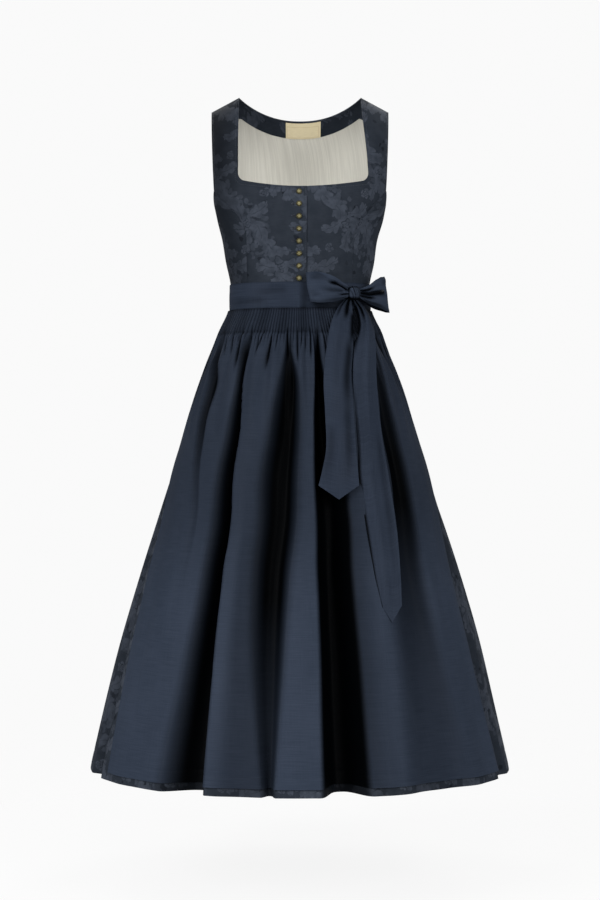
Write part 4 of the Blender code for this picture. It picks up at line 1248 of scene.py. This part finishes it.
def tie_hem(across):
    """Depth of the stitched lines along both edges of a tie."""
    return 0.0003 * bell(np.minimum(across, 1.0 - across) - 0.07, 0.02)


def make_loop(name, node, stations, troughs, turn_slant, out_slant, satin):
    """One loop of the bow: a strip of the tie out from the knot and back to it.

    The slants turn or move the far end's lower edge against its upper edge.
    """
    along = steps_of(150, 1)
    across = steps_of(34, 0)
    angle, out, bottom, top = [through(values, along) for values in stations.T]
    height = bottom + (top - bottom) * across
    far = np.sin(math.pi * along) ** 2 * (0.5 - across)
    points = band_point(angle + turn_slant * far, height, out + out_slant * far)
    depth = trough_depth(along, across, troughs, 0.6)
    near_knot = np.exp(-np.minimum(along, 1.0 - along) / 0.10)
    pinch = np.cos(2.0 * math.pi * (3.4 * across + 0.2))
    swell = waves(along, across, ((0.0005, 17.0, 5.0, 0.4), (0.0004, 31.0, -9.0, 1.0)))
    hold = rise(0.0, 0.06, along) * fall(0.94, 1.0, along)
    inset = (depth + 0.0012 * near_knot * pinch + swell) * (0.35 + 0.65 * hold) + tie_hem(across)
    points = points - grid_normals(points) * inset[..., None]
    # Painted shade in the troughs, at the pinches near the knot, on the half of the loop behind and
    # along its lower edge.
    pinch_shade = 0.75 * near_knot * (0.5 + 0.5 * pinch)
    behind = 0.6 * fall(0.38, 0.50, along)
    under = 0.45 * fall(0.0, 0.16, across)
    light = (1.0 - clamp01(depth / 0.0042)) * (1.0 - pinch_shade) * (1.0 - behind) * (1.0 - under)
    uv = stack(lengths_along(points, 1), across * 0.052)
    return grid_shell(name, node, ("satin", [satin]), points, uv, TIE_SHELL, painted_shade_and_wear=1.0 - light)


def make_tail(name, node, table, point_drop, troughs, edge_shadow, satin):
    """One tail of the bow, hanging over the apron, cut to a point.

    The edge shadow is a painted shadow along its right edge, lower down.
    """
    along = steps_of(190, 0)
    across = steps_of(36, 1)
    height = table[0, 0] + (table[-1, 0] - table[0, 0]) * along
    right, left, out = lookup(table, height)
    x = right + (left - right) * across
    depth = trough_depth(along, across, troughs, 0.30)
    swell = waves(along, across, ((0.0010, 21.0, 1.0, 0.5), (0.0006, 37.0, 3.0, 2.0)))
    reach = out - depth - swell * rise(0.02, 0.2, along)
    height = height - point_drop * (1.0 - np.abs(2.0 * across - 1.0)) * rise(0.80, 1.0, along)
    angle = 0.0
    for _ in range(10):
        radius = skirt_radius(angle, height) + reach
        angle = np.degrees(np.arcsin(np.minimum(x / radius, 1.0)))
    points = around(angle, skirt_radius(angle, height) + reach, height)
    normals = -grid_normals(points)
    points = points - normals * tie_hem(across)[..., None]
    # Painted shade in the troughs and under the knot, and the painted edge shadow.
    line = edge_shadow * bell(across, 0.05) * rise(0.45, 0.62, along)
    dark = depth / 0.0048 + 0.75 * np.exp(-along / 0.035) + line
    return grid_shell(name, node, ("satin", [satin]), points, stack(x, lengths_along(points, 0)),
                      TIE_SHELL, normals, clamp01(dark), flip=True)


def make_knot(satin):
    """The knot: cloth wrapped over the ties in upright folds."""
    turns = 96
    tilts = 48
    power = 3.0
    middle = band_point(KNOT_ANGLE + np.array([-1.0, 0.0, 1.0]), KNOT_HEIGHT, 0.0)
    tangent = unit(middle[2] - middle[0])
    upward = np.array([0.0, 0.0, 1.0])
    outward = np.cross(tangent, upward)
    seat = middle[1] + outward * (SEAM_GAP + KNOT_SIZE[1] / 2.0)

    def rounded(value):
        return np.sign(value) * np.abs(value) ** (2.0 / power)

    tilt = np.radians(np.linspace(-89.0, 89.0, tilts + 1))[:, None]
    turn = np.radians(np.arange(turns) * 360.0 / turns)[None, :]
    waist = rounded(np.cos(tilt)) / 2.0
    side = KNOT_SIZE[0] * waist * rounded(np.cos(turn)) * 0.97
    out = KNOT_SIZE[1] * waist * rounded(np.sin(turn)) * 0.97
    up = KNOT_SIZE[2] / 2.0 * rounded(np.sin(tilt)) * 0.97
    points = (seat + tangent * side[..., None] + outward * out[..., None]
              + upward * up[..., None])
    lean = side + 0.18 * up + 0.0012 * np.sin(260.0 * up)
    depth = sum(deep * bell(lean - place, half) for place, half, deep in KNOT_CREASES)
    front = clamp01(out / (KNOT_SIZE[1] / 2.0))
    # Painted shade toward its back, its top and bottom and one side, and in its creases.
    rim = (0.85 * fall(0.28, 0.74, front)
           + 0.9 * rise(0.50, 0.95, np.abs(up - 0.001) / (KNOT_SIZE[2] / 2.0))
           + 0.30 * rise(0.15, 0.90, side / (KNOT_SIZE[0] / 2.0)))
    points = points - grid_normals(points, closed=True) * (depth * front)[..., None]
    count = turns * (tilts + 1)
    caps = [list(range(turns))[::-1], list(range(count - turns, count))]
    return make_piece("tie_knot", "bow_knot", ("satin", [satin]), points.reshape(-1, 3),
                      grid_faces(tilts + 1, turns, closed=True).tolist() + caps,
                      stack(side, up).reshape(-1, 2),
                      clamp01(depth * front / 0.0022 + rim).reshape(-1))


# Buttons and sewing

def front_frame(x, height):
    """Seat, outward, across and upward directions on the right front's face."""
    turn = turn_at(x, height)
    normal = torso_normal(turn, height)
    across = unit(np.cross((0.0, 0.0, 1.0), normal))
    return torso_point(turn, height), normal, across, np.cross(normal, across)


def make_button(number, height, brass):
    """A domed brass button with a six-petalled flower and a beaded rim."""
    segments = 72
    rings = 20
    seat, normal, across, upward = front_frame(BUTTON_X, height)
    seat = seat + normal * (BODICE_WALL / 2.0 + BUTTON_STAND)
    radius = steps_of(rings, 0)
    angle = np.arange(segments)[None, :] * 2.0 * math.pi / segments
    dome = 0.62 + 0.30 * np.sqrt(np.maximum(1.0 - radius ** 2, 0.0))
    petal = np.abs(np.cos(3.0 * angle)) ** 0.6
    flower = (0.20 * rise(0.0, 0.10, 0.36 + 0.36 * petal - radius)
              * (1.0 - 0.5 * bell(radius - 0.20, 0.05))
              * (1.0 - 0.55 * bell(np.cos(3.0 * angle), 0.14) * rise(0.2, 0.3, radius)))
    beads = 0.12 * bell(radius - 0.86, 0.06) * (0.55 + 0.45 * np.cos(18.0 * angle))
    raised = clamp01((flower + 1.6 * beads) / 0.20)
    deep = np.minimum(dome - 0.14 + flower + beads, 1.0) * BUTTON_DEPTH
    wide = radius * BUTTON_RADIUS * 0.985
    top = (seat + across * (wide * np.cos(angle))[..., None]
           + upward * (wide * np.sin(angle))[..., None] + normal * deep[..., None])
    edge = top[-1]
    above_seat = normal * (edge - seat).dot(normal)[:, None]
    low = edge - above_seat * 0.55
    flat = seat + (edge - seat - above_seat) * 0.84
    points = np.concatenate([[top[0, 0]], top[1:].reshape(-1, 3), low, flat])
    marks = np.concatenate([[raised[0, 0]], raised[1:].reshape(-1), np.zeros(2 * segments)])
    faces = []
    for segment in range(segments):
        after = (segment + 1) % segments
        faces.append([0, 1 + segment, 1 + after])
        for here in range(1, 1 + (rings + 1) * segments, segments):
            faces.append([here + segment, here + segments + segment, here + segments + after,
                          here + after])
    bottom = 1 + (rings + 1) * segments
    faces.append([bottom + segment for segment in reversed(range(segments))])
    return make_piece(f"brass_button_{number}", f"button_{number}", ("button", [brass]), points,
                      faces, painted_shade_and_wear=marks)


def joined_tubes(name, paths, radius, sides, material):
    """One mesh of thin tubes along short paths, each path a list of points."""
    points = []
    faces = []
    turn = 2.0 * math.pi * np.arange(sides)[:, None] / sides
    for path in paths:
        path = np.asarray(path)
        tangent = unit(np.gradient(path, axis=0))
        side = np.cross(tangent, (0.0, 0.0, 1.0))
        weak = np.linalg.norm(side, axis=1) < 0.2
        side[weak] = np.cross(tangent[weak], (1.0, 0.0, 0.0))
        side = unit(side)
        up = np.cross(side, tangent)
        size = np.full((len(path), 1, 1), radius)
        size[[0, -1]] *= 0.45
        rings = path[:, None] + (side[:, None] * np.cos(turn) + up[:, None] * np.sin(turn)) * size
        start = len(points)
        points.extend(rings.reshape(-1, 3))
        faces += grid_faces(len(path), sides, closed=True, first=start).tolist()
        faces.append(list(range(start, start + sides))[::-1])
        faces.append(list(range(len(points) - sides, len(points))))
    return make_piece(name, None, ("jacquard", [material]), points, faces)


def make_buttonholes(thread):
    """Worked buttonholes at the buttons: close stitches laid round a slit."""
    paths = []
    for height in BUTTON_HEIGHTS:
        seat, normal, across, upward = front_frame(BUTTON_X - 0.0068, height)
        seat = seat + normal * (BODICE_WALL / 2.0 - 0.0002)
        for stitch in range(BUTTONHOLE_STITCHES):
            turn = 2.0 * math.pi * stitch / BUTTONHOLE_STITCHES
            along = 0.62 * BUTTONHOLE_LENGTH * math.cos(turn)
            middle = np.clip(along, -BUTTONHOLE_LENGTH / 2.0, BUTTONHOLE_LENGTH / 2.0)
            lift = BUTTONHOLE_HALF * math.sin(turn)
            spoke = unit(np.array([along - middle, lift]))
            start = seat + across * middle + upward * lift * 0.35
            reach = across * spoke[0] + upward * spoke[1]
            paths.append([start + reach * 0.0001, start + reach * 0.0008 + normal * 0.00035,
                          start + reach * 0.0016])
    return joined_tubes("buttonhole_stitches", paths, 0.00032, 5, thread)


def stitches_on(xs, heights, behind=False):
    """Short stitches along a line on the torso's outer face, through places (x, height)."""
    turn = turn_at(xs, heights, behind)
    normals = torso_normal(turn, heights)
    line = torso_point(turn, heights) + normals * (BODICE_WALL / 2.0)
    steps = lengths_along(line, 0)
    paths = []
    spot = STITCH_GAP
    while spot + STITCH_LENGTH < steps[-1]:
        marks = spot + STITCH_LENGTH * np.array([0.0, 0.5, 1.0])
        points, outs = [stack(*(np.interp(marks, steps, column) for column in values.T))
                        for values in (line, normals)]
        paths.append(points + outs * np.array([-0.0001, 0.0002, -0.0001])[:, None])
        spot += STITCH_LENGTH + STITCH_GAP
    return paths


def make_topstitching(thread):
    """Stitches along the neckline, the overlap's edge and the armholes of the fronts."""
    paths = []
    for side, neck_low, start in ((-1, NECK_HALF, -FRONT_EDGE), (1, NECK_RIGHT_LOW, 0.014)):
        x = np.linspace(start, neck_low - 0.004, 60)
        height = np.linspace(NECK_CORNER + 0.004, SHOULDER_TOP - 0.002, 60)
        xs = np.concatenate([x, neck_width(height, neck_low) + TOPSTITCH_IN])
        low = neck_height(np.abs(x) / neck_low) - TOPSTITCH_IN
        paths += stitches_on(side * xs, np.concatenate([low, height]))
        rows = np.linspace(CHEST_HEIGHT, SHOULDER_TOP - 0.002, 60)
        outer = ARMHOLE_SHARE * torso_size(rows)[0] - TOPSTITCH_IN
        for behind in (False, True):
            paths += stitches_on(side * outer, rows, behind)
    rows = np.linspace(WAIST_SEAM + 0.02, FRONT_NECK - 0.004, 60)
    paths += stitches_on(np.full(60, FRONT_EDGE - 0.0022), rows)
    return joined_tubes("bodice_topstitching", paths, 0.00022, 4, thread)


# Studio

def make_studio():
    scene = bpy.context.scene
    scene.view_settings.view_transform = "Standard"
    scene.view_settings.look = "None"
    world = bpy.data.worlds.new("studio")
    scene.world = world
    world.use_nodes = True
    back = world.node_tree.nodes["Background"]
    feed(back.inputs, {"Color": WHITE, "Strength": 0.20})
    seen = add_node("ShaderNodeBackground", {"Color": WHITE, "Strength": 0.955}, world.node_tree)
    rays = add_node("ShaderNodeLightPath", {}, world.node_tree)
    mixed = add_node("ShaderNodeMixShader",
                     {0: Wire(rays, "Is Camera Ray"), 1: Wire(back), 2: Wire(seen)})
    feed(world.node_tree.nodes["World Output"].inputs, {0: Wire(mixed)})

    turns = [2.0 * math.pi * index / 96 for index in range(96)]
    mesh = bpy.data.meshes.new("floor")
    mesh.from_pydata([(FLOOR_RADIUS * math.cos(turn), FLOOR_RADIUS * math.sin(turn), FLOOR_HEIGHT)
                      for turn in turns], [], [list(range(96))])
    material, shader = new_material("floor")
    feed(shader, {"Base Color": (0.08, 0.08, 0.08, 1.0), "Roughness": 0.9,
                  "Specular IOR Level": 0.1, "Emission Color": WHITE, "Emission Strength": 0.872})
    where = source(material, "ShaderNodeNewGeometry", "Position")
    far = vector("LENGTH", vector("MULTIPLY", where, (1.0, 1.0, 0.0)))
    nodes = material.node_tree.nodes
    clear = add_node("ShaderNodeBsdfTransparent", {}, material.node_tree)
    faded = add_node("ShaderNodeMixShader", {0: far.ramp(0.55, FLOOR_RADIUS * 0.9),
                                             1: Wire(nodes["Principled BSDF"]), 2: Wire(clear)})
    feed(nodes["Material Output"].inputs, {0: Wire(faded)})
    mesh.materials.append(material)
    floor = bpy.data.objects.new("floor", mesh)
    scene.collection.objects.link(floor)

    add_light("key", (-3.2, -3.1, 1.00), (0.0, -0.05, -0.70), 2.6, 3.4, 228.0)
    add_light("fill", (2.9, -3.2, 0.60), (0.0, -0.05, -0.75), 2.2, 3.2, 150.0)
    add_light("front", (0.2, -4.8, 1.50), (0.0, 0.0, -0.55), 1.8, 1.4, 42.0)
    add_light("behind_right", (1.7, 2.4, 2.20), (0.0, 0.0, -0.70), 2.2, 2.6, 60.0)
    add_light("behind_left", (-1.9, 2.3, 2.00), (0.0, 0.0, -0.70), 2.2, 2.6, 50.0)


def add_light(name, place, aim, width, height, power):
    """A soft box that faces its aim."""
    data = bpy.data.lights.new(name, "AREA")
    data.shape = "RECTANGLE"
    data.size = width
    data.size_y = height
    data.energy = power
    lamp = bpy.data.objects.new(name, data)
    lamp.location = place
    lamp.rotation_euler = (Vector(aim) - Vector(place)).to_track_quat("-Z", "Y").to_euler()
    bpy.context.scene.collection.objects.link(lamp)


def make_camera():
    data = bpy.data.cameras.new("camera")
    data.lens = CAMERA_LENS
    data.sensor_width = SENSOR
    data.sensor_fit = "AUTO"
    camera = bpy.data.objects.new("camera", data)
    camera.location = (0.0, -CAMERA_DISTANCE, CAMERA_HEIGHT)
    camera.rotation_euler = (math.radians(90.0), 0.0, 0.0)
    bpy.context.scene.collection.objects.link(camera)
    bpy.context.scene.camera = camera


def main():
    make_camera()
    make_studio()
    pattern = pattern_group()
    satin = satin_material("satin_apron", 1.0, SATIN_DARK, SATIN_LIGHT)
    shaded_tie_satin = satin_material("satin_ties_shaded", 0.95, TIE_SHADED_DARK, TIE_SHADED_LIGHT)
    bow_satin = satin_material("satin_bow", 0.95, SATIN_DARK, SATIN_LIGHT)
    jacquard = jacquard_material("jacquard", pattern)
    lining = lining_material("lining")
    label = label_material("label")
    brass = brass_material("brass")
    thread = thread_material("navy_thread", THREAD)

    cloth = ("jacquard", [jacquard])
    lined = ("jacquard", [jacquard, lining])
    right_centre = [FRONT_EDGE, FRONT_EDGE - 0.0007, FRONT_EDGE - 0.0020, -0.002]
    left_centre = [UNDERLAP_EDGE, FRONT_EDGE + 0.001, FRONT_EDGE + 0.005]
    front_right = front_panel("front_right", "bodice_front_right", lined, -1, right_centre, 0,
                              0.020)
    front_left = front_panel("front_left", "bodice_front_left", lined, 1, left_centre, 2, 0.071)
    side_right = side_panel("side_right", "bodice_side_right", lined, -1, 0.012)
    side_left = side_panel("side_left", "bodice_side_left", lined, 1, 0.035)
    even = np.linspace(-1.0, 1.0, 97)
    layer = LINING_WALL + SEAM_GAP
    lining_in = (BODICE_WALL - LINING_WALL) / 2.0 + layer
    back = back_layer("back", "bodice_back", cloth, even, (0, 3), 0.0, BODICE_WALL)
    back_lining = back_layer("back_lining", "lining_back", ("lining", [lining]), even * 0.90,
                             (0, 2), lining_in, LINING_WALL, ripple=0.0008, shorten=SEAM_GAP,
                             end_shade=0.40)
    facing = back_layer("facing", "neck_facing", cloth, even * 0.79, (2, 3), lining_in,
                        LINING_WALL, start=0.06)
    label_shares = np.linspace(-LABEL_ENDS[0], LABEL_ENDS[1], 30)
    bare_label = back_layer("bare_label", "label", ("label", [label]), label_shares, (2, 3),
                            lining_in + layer, LINING_WALL * 0.7, shorten=0.003, label=True)

    apron = make_apron(satin)
    creases = back_creases()
    skirt_front = make_skirt_panel("skirt_front_width", "skirt_front", -1.0, 1.0, 240, CREASES,
                                   20.0, jacquard, 0.52)
    skirt_left = make_skirt_panel("skirt_left_width", "skirt_back_left", 1.0, 2.0, 300, creases,
                                  BACK_PLEATS, jacquard, 0.80)
    skirt_right = make_skirt_panel("skirt_right_width", "skirt_back_right", 2.0, 3.0, 300, creases,
                                   BACK_PLEATS, jacquard, 0.80)
    band = make_band(shaded_tie_satin)
    knot = make_knot(bow_satin)
    loop_right = make_loop("loop_right", "bow_loop_right", LOOP_RIGHT, RIGHT_LOOP_TROUGHS, 4.5,
                           0.0, bow_satin)
    loop_left = make_loop("loop_left", "bow_loop_left", LOOP_LEFT, LEFT_LOOP_TROUGHS, 0.0,
                          0.011, bow_satin)
    tail_short = make_tail("tail_short", "bow_tail_short", TAIL_SHORT, TAIL_SHORT_POINT,
                           SHORT_TAIL_TROUGHS, 0.0, shaded_tie_satin)
    tail_long = make_tail("tail_long", "bow_tail_long", TAIL_LONG, TAIL_LONG_POINT,
                          LONG_TAIL_TROUGHS, 0.8, shaded_tie_satin)
    for index, height in enumerate(BUTTON_HEIGHTS):
        make_button(index + 1, height, brass)
    make_buttonholes(thread)
    make_topstitching(thread)


main()
